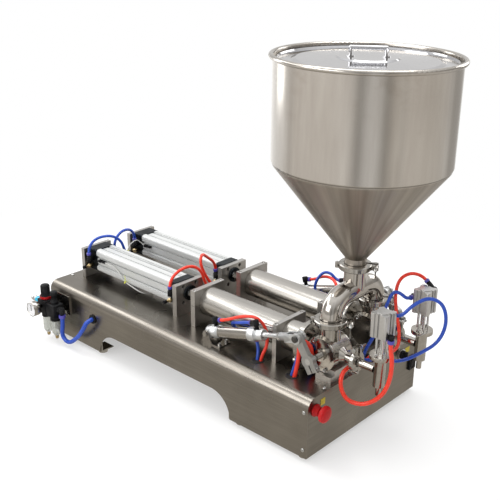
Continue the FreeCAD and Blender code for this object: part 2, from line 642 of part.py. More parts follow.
for group in (barrel_parts, rod_parts):
    for s in group:
        s.rotate(vec(0, 0, 0), Y, -slope)
        s.translate(vec(PIVOT_X, -ACT_Y, PIVOT_Z))
save("near_actuator_barrel", *barrel_parts)
save("far_actuator_barrel", *[far_out(s) for s in barrel_parts])
save("near_actuator_rod", *rod_parts)
save("far_actuator_rod", *[far_out(s) for s in rod_parts])

# Bracket round the rear pivot: two cheeks on a foot
bracket = box(PIVOT_X - 14, PIVOT_X + 48, -ACT_Y - CHEEK_Y[1], -ACT_Y + CHEEK_Y[1], TOP_Z, TOP_Z + 3)
for sign in (-1, 1):
    a, b = sorted((-ACT_Y + sign * CHEEK_Y[0], -ACT_Y + sign * CHEEK_Y[1]))
    points = [vec(PIVOT_X - 12, a, TOP_Z + 1), vec(PIVOT_X - 9, a, PIVOT_Z), vec(PIVOT_X + 9, a, PIVOT_Z),
              vec(PIVOT_X + 22, a, TOP_Z + 1)]
    cheek = Part.Face(Part.makePolygon(points + points[:1])).extrude(Y * (b - a))
    cheek = cheek.fuse(rod(vec(PIVOT_X, a, PIVOT_Z), Y, 9, b - a))
    bracket = bracket.fuse(cheek)
bracket = bracket.removeSplitter().cut(rod(vec(PIVOT_X, -ACT_Y - 30, PIVOT_Z), Y, PIN_R + GAP, 60))
pivot_pin = rod(vec(PIVOT_X, -ACT_Y - CHEEK_Y[1] - 0.3, PIVOT_Z), Y, PIN_R, 2 * CHEEK_Y[1] + 3)
pivot_head = hexagon(vec(PIVOT_X, -ACT_Y - CHEEK_Y[1] - 0.3, PIVOT_Z), -Y, 12, 4)
pivot_pin = pivot_pin.fuse(pivot_head).removeSplitter()
near_bracket = [bracket, pivot_pin]
save("actuator_brackets", *(near_bracket + [far_out(s) for s in near_bracket]))
for y in (-ACT_Y - 12, -ACT_Y + 12):
    screw = cap_screw(vec(PIVOT_X + 39, y, TOP_Z + 3), Z, 6)
    screws.extend([screw, far_out(screw)])


def swept(points, radius):
    """Tube along straight runs joined by tangent arcs; returns solid, radii and length."""
    edges = []
    radii = []
    last = points[0]
    for k in range(1, len(points) - 1):
        before = points[k] - points[k - 1]
        after = points[k + 1] - points[k]
        turn = before.getAngle(after)
        cut = 0.45 * min(before.Length, after.Length)
        before.normalize()
        after.normalize()
        a = points[k] - before * cut
        b = points[k] + after * cut
        bend = cut / math.tan(turn / 2)
        inward = after - before
        inward.normalize()
        centre = points[k] + inward * (bend / math.cos(turn / 2))
        middle = centre - inward * bend
        edges.append(Part.LineSegment(last, a).toShape())
        edges.append(Part.Arc(a, middle, b).toShape())
        radii.append(bend)
        last = b
    edges.append(Part.LineSegment(last, points[-1]).toShape())
    wire = Part.Wire(edges)
    start = points[1] - points[0]
    circle = Part.Wire(Part.Circle(points[0], start, radius).toShape())
    solid = wire.makePipeShell([circle], True, False)
    return solid, radii, wire.Length


def quarter_bend(outer_r, centre, y_dir):
    """Quarter of a torus from a horizontal run down to a vertical one."""
    circle = Part.Wire(Part.Circle(centre + Z * ELBOW_R, Y, outer_r).toShape())
    return Part.Face(circle).revolve(centre, X, -90 * y_dir)


# Manifold: a tee with two bends down to the valves
EDGE_Y = ROW_Y - ELBOW_R
bend_z = TEE_Z - ELBOW_R


def manifold(radius, over):
    solids = [rod(vec(VALVE_X, -EDGE_Y, TEE_Z), Y, radius, 2 * EDGE_Y)]
    solids.append(rod(vec(VALVE_X, 0, TEE_Z), Z, radius, HOPPER_CLAMP_Z - TEE_Z + over))
    for side in (-1, 1):
        solids.append(quarter_bend(radius, vec(VALVE_X, side * EDGE_Y, bend_z), side))
        foot_z = ELBOW_CLAMP_Z - over
        solids.append(rod(vec(VALVE_X, side * ROW_Y, foot_z), Z, radius, bend_z - foot_z))
    return join(*solids)


pants = manifold(PIPE_R, 0)
pants = pants.fuse(rod(vec(VALVE_X, 0, HOPPER_CLAMP_Z - FERRULE_T), Z, PIPE_FERRULE_R, FERRULE_T))
for side in (-1, 1):
    pants = pants.fuse(rod(vec(VALVE_X, side * ROW_Y, ELBOW_CLAMP_Z), Z, PIPE_FERRULE_R, FERRULE_T))
pants = pants.cut(manifold(PIPE_R - PIPE_WALL, 1))
save("manifold", pants)

# Hopper: ferrule, neck, cone, cylinder with a rolled bead and a ledge for the lid
wall = HOPPER_WALL
inner_r = HOPPER_R - wall
neck_r = PIPE_R
base_z = HOPPER_CLAMP_Z
hopper_profile = [(neck_r - PIPE_WALL, base_z), (PIPE_FERRULE_R, base_z),
                  (PIPE_FERRULE_R, base_z + FERRULE_T), (neck_r, base_z + FERRULE_T), (neck_r, CONE_Z),
                  (HOPPER_R - 3, SEAM_Z - 5), (HOPPER_R, SEAM_Z + 3), (HOPPER_R, RIM_Z - 3),
                  (inner_r, RIM_Z - 3), (inner_r, SEAM_Z + 3), (inner_r - 3, SEAM_Z - 5 + wall * 0.4),
                  (neck_r - PIPE_WALL, CONE_Z + wall * 0.4)]
at_hopper = vec(VALVE_X, 0, 0)
hopper = turned(hopper_profile, at_hopper, Z)
bead = Part.makeTorus(HOPPER_R + 3, RIM_BEAD, vec(VALVE_X, 0, RIM_Z - RIM_BEAD), Z)
ledge = turned([(inner_r + 0.5, LID_Z - 2), (inner_r + 0.5, LID_Z), (LID_R - 8, LID_Z),
                (LID_R - 8, LID_Z - 2)], at_hopper, Z)
hopper = hopper.fuse(bead).fuse(ledge).removeSplitter()
save("hopper", hopper)

lid = turned([(0, LID_Z + 8), (0, LID_Z + 9.5), (LID_BOSS_R - 2, LID_Z + 9.5), (LID_BOSS_R + 2, LID_Z + 7),
              (LID_STEP_R + 2, LID_Z + 4.5), (LID_STEP_R + 12, LID_Z + 1.5), (LID_R - 2, LID_Z + 1.5),
              (LID_R, LID_Z + 5), (LID_R + 1, LID_Z + 4.5), (LID_R, LID_Z), (LID_STEP_R + 10, LID_Z),
              (LID_STEP_R, LID_Z + 3), (LID_BOSS_R, LID_Z + 5.5), (LID_BOSS_R - 4, LID_Z + 8)],
             at_hopper, Z)
lid_top = LID_Z + 9.5
grip_z = lid_top + HANDLE_H
half_grip = HANDLE_L / 2 - GRIP_R
handle = rod(vec(VALVE_X, -half_grip, grip_z), Y, GRIP_R, 2 * half_grip)
for y in (-half_grip, half_grip):
    handle = handle.fuse(rod(vec(VALVE_X, y, lid_top), Z, GRIP_R, HANDLE_H))
    handle = handle.fuse(Part.makeSphere(GRIP_R, vec(VALVE_X, y, grip_z)))
    handle = handle.fuse(rod(vec(VALVE_X, y, lid_top), Z, 2 * GRIP_R, 2))
handle = handle.removeSplitter()
handle.rotate(vec(VALVE_X, 0, 0), Z, HANDLE_TURN)
save("hopper_lid", lid, handle)

# Outlet pipes between the valve clamps and the nozzles
out_len = NOZZLE_X - OUT_CLAMP_X - NOZZLE_R - GAP
out_pipe = rod(vec(OUT_CLAMP_X, -ROW_Y, AXIS_Z), X, OUT_PIPE_R, out_len)
out_pipe = out_pipe.fuse(rod(vec(OUT_CLAMP_X, -ROW_Y, AXIS_Z), X, OUT_FERRULE_R, OUT_T))
out_pipe = out_pipe.cut(rod(vec(OUT_CLAMP_X - 1, -ROW_Y, AXIS_Z), X, OUT_PORT_R, 90))
save("outlet_pipes", *both(out_pipe.removeSplitter()))

# Nozzle: tube with a tapered seat, flange, four posts and the small cylinder above
at_nozzle = vec(NOZZLE_X, -ROW_Y, 0)
nozzle = turned([(NOZZLE_R, NOZZLE_Z[0]), (NOZZLE_R, NOZZLE_Z[1]), (FLANGE_R, NOZZLE_Z[1]),
                 (FLANGE_R, NOZZLE_Z[1] + 5), (NOZZLE_BORE_R, NOZZLE_Z[1] + 5),
                 (NOZZLE_BORE_R, NOZZLE_Z[0] + 7), (TIP_R - 2, NOZZLE_Z[0] - 2), (TIP_R - 2, TIP_Z),
                 (TIP_R, TIP_Z), (TIP_R, NOZZLE_Z[0])], at_nozzle, Z)
nozzle = nozzle.cut(rod(vec(NOZZLE_X - 40, -ROW_Y, AXIS_Z), X, OUT_PORT_R, 40))
gland = turned([(STEM_R + RUN, NOZZLE_Z[1] - 8), (NOZZLE_BORE_R - GAP, NOZZLE_Z[1] - 8),
                (NOZZLE_BORE_R - GAP, NOZZLE_Z[1] + 5), (FLANGE_R, NOZZLE_Z[1] + 5),
                (FLANGE_R, NOZZLE_Z[1] + 10), (STEM_R + RUN, NOZZLE_Z[1] + 10)], at_nozzle, Z)
save("nozzle_bodies", *both(nozzle, gland))
flange_top = NOZZLE_Z[1] + 10
post_solids = []
for dx in (-8, 8):
    for dy in (-8, 8):
        post_solids.append(rod(vec(NOZZLE_X + dx, -ROW_Y + dy, flange_top), Z, 2.8, CYL_Z[0] - flange_top))
for dy in (-19, 19):
    screws.extend(both(cap_screw(vec(NOZZLE_X, -ROW_Y + dy, flange_top), Z, 5)))
save("nozzle_posts", *both(*post_solids))

c = CYL_SIDE / 2
small_cyl = box(NOZZLE_X - c, NOZZLE_X + c, -ROW_Y - c, -ROW_Y + c, CYL_Z[0], CYL_Z[1])
uprights = [e for e in small_cyl.Edges if abs(e.Length - (CYL_Z[1] - CYL_Z[0])) < 0.01]
small_cyl = small_cyl.makeFillet(5, uprights)
for k in range(4):
    groove = box(-10, 10, c - 2.5, c + 5, -1, 200)
    groove = groove.fuse(box(-2.2, 2.2, c - 6, c + 5, -1, 200))
    groove.rotate(vec(0, 0, 0), Z, 90 * k)
    small_cyl = small_cyl.cut(moved(groove, NOZZLE_X, -ROW_Y, CYL_Z[0]))
small_cyl = small_cyl.cut(rod(vec(NOZZLE_X, -ROW_Y, CYL_Z[0] + 8), Z, 12.5, CYL_Z[1] - CYL_Z[0] - 14))
small_cyl = small_cyl.cut(rod(vec(NOZZLE_X, -ROW_Y, CYL_Z[0] - 1), Z, STEM_R + RUN, 12))
small_cyl = small_cyl.fuse(rod(vec(NOZZLE_X, -ROW_Y, CYL_Z[1]), Z, 15, 2)).removeSplitter()
save("nozzle_cylinders", *both(small_cyl))

# Nozzle stem: plug in the tip, rod and piston, one lift of 14 mm
stem = rod(vec(NOZZLE_X, -ROW_Y, NOZZLE_Z[0] + 8), Z, STEM_R, CYL_Z[0] + 20 - NOZZLE_Z[0] - 8)
plug = cone(vec(NOZZLE_X, -ROW_Y, NOZZLE_Z[0] - 2), Z, TIP_R - 2 - SEAL, NOZZLE_BORE_R - 1, 9)
piston = rod(vec(NOZZLE_X, -ROW_Y, CYL_Z[0] + 10), Z, 12.5 - SEAL, 12)
plug_tip = rod(vec(NOZZLE_X, -ROW_Y, NOZZLE_Z[0] - 6), Z, TIP_R - 2 - SEAL, 5)
near_stem = join(stem, plug, piston, plug_tip)
save("near_nozzle_stem", near_stem)
save("far_nozzle_stem", far(near_stem))

# Front panel controls
collar = ring(vec(front_x, ESTOP[0], ESTOP[1]), X, 15, 11.5, 3)
collar = collar.fuse(ring(vec(front_x - 24, ESTOP[0], ESTOP[1]), X, 10.5, 8.3, 38))
collar = collar.fuse(ring(vec(front_x, ESTOP[0], ESTOP[1]), X, 11.6, 8.3, 14)).removeSplitter()
bezel = ring(vec(front_x, SELECTOR[0], SELECTOR[1]), X, 14.5, 10, 4)
bezel = bezel.fuse(ring(vec(front_x - 24, SELECTOR[0], SELECTOR[1]), X, 10.5, 8, 28)).removeSplitter()
inlet = box(front_x, front_x + 5, INLET[0], INLET[1], INLET[2], INLET[3])
inlet = inlet.makeFillet(2, [e for e in inlet.Edges if abs(e.Length - 5) < 0.01])
inlet = inlet.cut(box(front_x + 2, front_x + 6, INLET[0] + 5, INLET[1] - 5, INLET[2] + 8, INLET[3] - 8))
rocker = box(front_x + 2, front_x + 6, INLET[0] + 6, INLET[1] - 6, INLET[2] + 9, INLET[3] - 9)
estop_plate = box(front_x, front_x + 0.8, ESTOP[0] + 17, ESTOP[0] + 33, ESTOP[1] + 3, ESTOP[1] + 19)
select_plate = box(front_x, front_x + 0.8, SELECTOR[0] + 17, SELECTOR[0] + 37,
                   SELECTOR[1] - 5, SELECTOR[1] + 9)
save("panel_fittings", collar, bezel, inlet, rocker, estop_plate, select_plate)

head_x = front_x + 14 + ESTOP_TRAVEL + 1
button = turned([(0, -30), (8.3 - SEAL, -30), (8.3 - SEAL, 0), (16, 0), (19.5, 3), (20, 7), (19, 10.5),
                 (15, 13.5), (8, 15), (0, 15.4)], vec(head_x, ESTOP[0], ESTOP[1]), X)
save("estop_button", button)
knob_x = front_x + 4.3
knob = rod(vec(knob_x - 24, SELECTOR[0], SELECTOR[1]), X, 8 - SEAL, 24)
knob = knob.fuse(cone(vec(knob_x, SELECTOR[0], SELECTOR[1]), X, 11.5, 10.5, 4))
grip = box(knob_x, knob_x + 15, SELECTOR[0] - 3.5, SELECTOR[0] + 3.5, SELECTOR[1] - 11, SELECTOR[1] + 11)
knob = knob.fuse(grip.makeFillet(1.5, grip.Edges)).removeSplitter()
save("selector_knob", knob)

# Air service unit on the near skirt: regulator with gauge, then lubricator
reg = vec(REG_X, UNIT_Y, 0)
lub = vec(LUB_X, UNIT_Y, 0)
unit = box(REG_X - 19, REG_X + 19, UNIT_Y - 17, UNIT_Y + 17, 82, 124)
unit = unit.makeFillet(3, unit.Edges)
unit = unit.fuse(rod(vec(REG_X, UNIT_Y, 72), Z, 15, 54))
reg_body = unit.removeSplitter().cut(rod(vec(REG_X, UNIT_Y, 118), Z, 6 + GAP, 10))
lub_body = box(LUB_X - 19, LUB_X + 19, UNIT_Y - 17, UNIT_Y + 17, 82, 122)
lub_body = lub_body.makeFillet(3, lub_body.Edges)
lub_body = lub_body.fuse(rod(vec(LUB_X, UNIT_Y, 70), Z, 15, 14)).removeSplitter()
joint_plate = box(REG_X + 19, LUB_X - 19, UNIT_Y - 12, UNIT_Y + 12, 90, 116)
lub_top = turned([(0, 122), (11, 122), (11, 128), (7, 134), (7, 144), (10, 145), (10, 156), (8, 158),
                  (0, 158)], lub, Z)
wall_plate = box(REG_X, LUB_X + 30, -half_w - 4, -half_w, 84, 140)
arm = box(REG_X + 16, LUB_X - 16, -half_w - 14.7, -half_w - 4, 96, 112)
save("service_unit_body", reg_body, lub_body, joint_plate, lub_top, wall_plate, arm)


def bowl(axis_point, top, bottom):
    drain = turned([(0, bottom - 12), (3.5, bottom - 12), (5, bottom - 9), (5, bottom - 3), (3, bottom),
                    (0, bottom)], axis_point, Z)
    cup = turned([(0, bottom), (8, bottom), (12.5, bottom + 9), (13, bottom + 20), (13, top), (11.5, top),
                  (11.5, bottom + 20), (11, bottom + 10), (7, bottom + 2), (0, bottom + 2)],
                 axis_point, Z)
    return cup, drain


reg_cup, reg_drain = bowl(reg, 72, 22)
lub_cup, lub_drain = bowl(lub, 70, 24)
save("service_unit_bowls", reg_cup, reg_drain, lub_cup, lub_drain)

reg_knob = turned([(0, 127), (17, 127), (17, 134), (13, 135), (13, 163), (11.5, 166), (0, 166)], reg, Z)
reg_knob = reg_knob.fuse(rod(vec(REG_X, UNIT_Y, 120), Z, 6, 8)).removeSplitter()
for k in range(12):
    a = math.radians(30 * k)
    flute = rod(vec(REG_X + 13.4 * math.cos(a), UNIT_Y + 13.4 * math.sin(a), 138), Z, 1.2, 30)
    reg_knob = reg_knob.cut(flute)
save("regulator_knob", reg_knob)

gauge_y = UNIT_Y - 17
gauge = turned([(0, 0), (5, 0), (5, 12), (20, 14), (21, 16), (21, 34), (19.5, 35), (19.5, 33), (0, 33)],
               vec(REG_X, gauge_y, GAUGE_Z), -Y)
needle = box(REG_X - 0.8, REG_X + 0.8, gauge_y - 34, gauge_y - 33, GAUGE_Z - 4, GAUGE_Z + 14)
save("pressure_gauge", gauge, needle)

# Inlet shut-off: body, sliding sleeve and hose tail
unit_x = REG_X - 19
stub = rod(vec(unit_x - 44, UNIT_Y, INLET_Z), X, 6, 44)
stub = stub.fuse(hexagon(vec(unit_x - 8, UNIT_Y, INLET_Z), X, 17, 8))
stub = stub.fuse(rod(vec(unit_x - 44, UNIT_Y, INLET_Z), X, 8, 6)).removeSplitter()
stub = stub.cut(rod(vec(unit_x - 50, UNIT_Y, INLET_Z), X, 4, 60))
sleeve = turned([(6 + RUN, 0), (8.5, 0), (9.5, 3), (9.5, 13), (8.5, 16), (6 + RUN, 16)],
                vec(unit_x - 26, UNIT_Y, INLET_Z), X)
save("shutoff_sleeve", sleeve)

# Push-in elbows on the cylinders, flow control screws and the outlet of the service unit
fittings = [stub]
for row in (-ROW_Y, ROW_Y):
    face_y = row - DRIVE_SIDE / 2
    for x in PORT_X:
        leg = rod(vec(x, face_y, AXIS_Z + 2), -Y, 6, 8)
        knee = rod(vec(x, face_y - 13, AXIS_Z - 4), Z, 6.5, 14)
        bridge = box(x - 6, x + 6, face_y - 13, face_y - 6, AXIS_Z - 4, AXIS_Z + 8)
        riser = rod(vec(x, face_y - 13, AXIS_Z + 10), Z, 5, COLLAR_Z - AXIS_Z - 10)
        fittings.append(join(leg, knee, bridge, riser))
        low_z = AXIS_Z - 18
        turn_screw = rod(vec(x - 4, face_y, low_z), -Y, 5.5, 6)
        turn_screw = turn_screw.fuse(hexagon(vec(x - 4, face_y - 6, low_z), -Y, 11, 8))
        turn_screw = turn_screw.fuse(rod(vec(x - 4, face_y - 14, low_z), -Y, 3.5, 10))
        turn_screw = turn_screw.fuse(rod(vec(x - 4, face_y - 24, low_z), -Y, 4.5, 8))
        fittings.append(turn_screw.removeSplitter())


def cylinder_elbow(root, side, out, leg):
    """Elbow on a small cylinder: face point, outward axis, hose direction and leg length."""
    stem = rod(root, side, 3.5, 4)
    knee = rod(root + side * 3.5, side, 6, 10)
    arm = rod(root + side * 8.5, out, 5.5, leg)
    return join(stem, knee, arm)


near_low = vec(NOZZLE_X + c - 2.5, -ROW_Y - 6, CYL_Z[0] + 8)
near_high = vec(NOZZLE_X - 4, -ROW_Y + c - 2.5, CYL_Z[1] - 14)
far_high = vec(NOZZLE_X + 6, ROW_Y + c - 2.5, CYL_Z[1] - 8)
far_low = vec(NOZZLE_X - c + 2.5, ROW_Y - 6, CYL_Z[1] - 24)
fittings.append(cylinder_elbow(near_low, X, -Z, 9))
fittings.append(cylinder_elbow(near_high, Y, X, 12))
fittings.append(cylinder_elbow(far_high, Y, vec(-0.8, 0, 0.6), 24))
fittings.append(cylinder_elbow(far_low, -X, -Y, 9))
out_x = LUB_X + 19
out_fit = hexagon(vec(out_x, UNIT_Y, OUTLET_Z + 14), X, 15, 7)
out_fit = out_fit.fuse(rod(vec(OUTLET_X, UNIT_Y, OUTLET_Z + 5), Z, 7.5, 16))
out_fit = out_fit.fuse(rod(vec(out_x + 5, UNIT_Y, OUTLET_Z + 14), X, 6, 8))
out_fit = out_fit.fuse(rod(vec(OUTLET_X, UNIT_Y, OUTLET_Z), Z, 7, 6)).removeSplitter()
fittings.append(out_fit)
hole_r = SUPPLY_HOSE_R + GAP
grommet = turned([(hole_r, -3), (13, -3), (13, 0), (9.7, 0), (9.7, 2), (13, 2), (13, 4), (hole_r, 4)],
                 vec(GROMMET[0], -half_w, GROMMET[1]), Y)
fittings.append(grommet)
save("push_in_fittings", *fittings)

save("drive_end_caps", *both(*caps))

# Position sensors in the barrel slots
sensors = []
for row in (-ROW_Y, ROW_Y):
    side_y = row - DRIVE_SIDE / 2
    body_y = side_y - 1.2
    sensor = box(SENSOR_X, SENSOR_X + 28, body_y - 4, side_y + 2.5, AXIS_Z + 3, AXIS_Z + 8)
    sensor = sensor.fuse(box(SENSOR_X + 2, SENSOR_X + 12, body_y - 6, body_y, AXIS_Z + 2, AXIS_Z + 9))
    sensors.append(sensor.removeSplitter())
save("reed_sensors", *sensors)

# Screws that hold the cabinet and the plates
for x in (-CAB_L / 2 + 10.8, CAB_L / 2 - 10.8):
    for y, axis in ((-half_w, -Y), (half_w, Y)):
        for z in (FOOT_H + 20, TOP_Z - 33):
            screws.append(dome_screw(vec(x, y, z), axis, 5))
    for y in (70 - half_w, half_w - 70):
        screws.append(dome_screw(vec(x, y, TOP_Z), Z, 5))
save("machine_screws", *screws)

# Air hoses: outside radius and the corners of each route
hoses = {
    "near_drive_rear_hose": (HOSE_R, [
        (-409, -129.5, 236), (-409, -129.5, 257), (-403, -108, 281), (-391, -66, 283),
        (-382, -34, 262), (-378, -24, 224), (-371, -8, 188), (-369, -2, 150)]),
    "far_drive_rear_hose": (HOSE_R, [
        (-409, 38.5, 236), (-409, 38.5, 258), (-404, 12, 279), (-400, -22, 278),
        (-398, -46, 256), (-396, -47, 222), (-386, -20, 196), (-378, -2, 174), (-379, 0, 150)]),
    "near_drive_front_hose": (HOSE_R, [
        (-67, -129.5, 236), (-67, -129.5, 257), (-58, -104, 283), (-44, -70, 290),
        (-34, -46, 270), (-31, -37, 232), (-14, -13, 192), (-9, -6, 150)]),
    "far_drive_front_hose": (HOSE_R, [
        (-67, 38.5, 236), (-67, 38.5, 257), (-66, 8, 284), (-59, -22, 306),
        (-49, -37, 280), (-38, -18, 232), (-16, 2, 196), (-6, 7, 150)]),
    "near_actuator_rear_hose": (HOSE_R, [
        (142.6, -158, 225.0), (162.6, -158, 230.8), (206, -152, 254), (246, -146, 266),
        (268, -138, 253), (278, -134, 227), (282, -138, 196), (277, -152, 174), (276, -156, 150)]),
    "near_actuator_front_hose": (HOSE_R, [
        (248.6, -158, 253.8), (226, -158, 247.2), (200, -155, 236), (170, -144, 224),
        (168, -128, 200), (205, -130, 210), (236, -131, 210), (256, -140, 186), (266, -152, 170),
        (267, -158, 150)]),
    "far_actuator_rear_hose": (HOSE_R, [
        (142.6, 190, 225.0), (160.6, 190, 230.2), (184, 189, 246), (214, 184, 256),
        (244, 172, 256), (262, 164, 232), (277, 166, 200), (279, 184, 174), (277, 191, 150)]),
    "far_actuator_front_hose": (HOSE_R, [
        (248.6, 190, 253.8), (235.2, 190, 249.9), (218, 187, 267), (198, 178, 267), (184, 168, 242),
        (181, 165, 214), (202, 164, 196), (240, 168, 190), (264, 182, 176), (267, 188, 150)]),
    "near_nozzle_low_hose": (THICK_HOSE_R, [
        (592.5, -90, 303), (592.5, -90, 284), (600, -90, 254), (598, -90, 208), (583, -94, 164),
        (548, -106, 132), (508, -118, 131), (490, -124, 162), (484, -112, 192), (484, -84, 197),
        (470, -44, 180), (440, -38, 176), (412, -44, 171), (410, -84, 168.5), (410, -130, 172),
        (411, -129, 210), (408, -131, 244), (380, -139, 250), (388, -148, 200), (381.8, -158, 150)]),
    "near_nozzle_high_hose": (HOSE_R, [
        (573.5, -57, 347), (590.5, -57, 347), (609, -40, 378), (634, -16, 396), (660, 2, 380),
        (668, 8, 334), (654, 4, 286), (616, 0, 248), (566, 0, 206), (505, -2, 190),
        (470, -26, 186), (440, -25, 182), (398, -32, 176), (398, -84, 168.5), (399, -125, 171),
        (402, -124, 204), (402, -125, 226), (381, -131, 230), (377, -146, 190), (372.4, -158, 150)]),
    "far_nozzle_high_hose": (HOSE_R, [
        (552.2, 111, 367.5), (538.2, 111, 378), (520, 86, 388), (507, 60, 376), (506, 50, 340),
        (512, 52, 296), (522, 56, 250), (530, 46, 208), (500, 22, 190), (466, 8, 182),
        (462, 6, 150)]),
    "far_nozzle_low_hose": (HOSE_R, [
        (538.5, 69, 337), (538.5, 52, 337), (524, 40, 354), (508, 36, 352), (498, 32, 320),
        (487, 26, 272), (474, 18, 226), (457, 10, 186), (454, 7, 150)]),
    "supply_hose": (SUPPLY_HOSE_R, [
        (-383, -252, 94), (-383, -252, 64), (-393, -252, 28), (-366, -249, 10),
        (-324, -246, 44), (-294, -246, 82), (-285, -240, 105), (-285, -212, 105)]),
}
for name, (radius, corners) in hoses.items():
    route = [vec(*c) for c in corners]
    solid, radii, length = swept(route, radius)
    print(name, "length %.0f" % length, "radii", " ".join("%.0f" % r for r in radii),
          "volume ratio %.3f" % (solid.Volume / (math.pi * radius ** 2 * length)))
    save(name, solid)
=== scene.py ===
import json
import math

import bmesh
import bpy
from mathutils import Matrix, Quaternion, Vector

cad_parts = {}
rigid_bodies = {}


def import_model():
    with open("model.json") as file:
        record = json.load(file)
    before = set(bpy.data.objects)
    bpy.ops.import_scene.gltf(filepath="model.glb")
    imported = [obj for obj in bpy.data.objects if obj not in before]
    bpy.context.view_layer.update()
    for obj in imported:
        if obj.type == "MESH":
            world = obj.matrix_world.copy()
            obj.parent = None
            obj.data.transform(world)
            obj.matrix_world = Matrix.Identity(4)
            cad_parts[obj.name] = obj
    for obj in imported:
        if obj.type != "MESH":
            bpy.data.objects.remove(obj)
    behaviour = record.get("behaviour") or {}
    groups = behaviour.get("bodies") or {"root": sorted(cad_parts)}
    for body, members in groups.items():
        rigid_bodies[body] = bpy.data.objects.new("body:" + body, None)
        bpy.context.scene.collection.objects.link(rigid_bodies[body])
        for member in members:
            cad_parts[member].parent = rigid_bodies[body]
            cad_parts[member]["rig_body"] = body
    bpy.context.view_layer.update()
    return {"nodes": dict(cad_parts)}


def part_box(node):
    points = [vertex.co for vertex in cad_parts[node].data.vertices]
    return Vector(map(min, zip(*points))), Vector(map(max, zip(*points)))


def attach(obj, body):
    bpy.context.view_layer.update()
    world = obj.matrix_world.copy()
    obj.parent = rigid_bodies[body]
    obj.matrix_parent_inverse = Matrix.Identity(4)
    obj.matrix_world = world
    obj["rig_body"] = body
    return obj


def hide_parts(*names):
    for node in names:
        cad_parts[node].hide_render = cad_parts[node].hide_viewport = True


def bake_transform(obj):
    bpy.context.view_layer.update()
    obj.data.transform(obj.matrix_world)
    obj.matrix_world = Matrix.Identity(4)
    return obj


# Dress of the two-head paste filler: metres, X towards the nozzles, Z up.
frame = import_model()
nodes = frame["nodes"]
scene = bpy.context.scene
ROWS = ("near", "far")

# Places of the CAD model: the hopper's axis, the weld where its bowl meets its cone, the table
HOPPER_X = 0.425
BOWL_HEIGHT = 0.230
BOWL_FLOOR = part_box("hopper")[1][2] - BOWL_HEIGHT
TABLE_TOP = 0.162

# Camera, where the photograph was taken from
LENS_MM = 60.63
SHIFT = (-0.0536, 0.0224)
CAMERA_AT = Vector((1.4515, -1.4715, 1.1355))
CAMERA_AIM = Vector((0.1318, 0.0648, 0.312))
CAMERA_ROLL = math.radians(1.34)

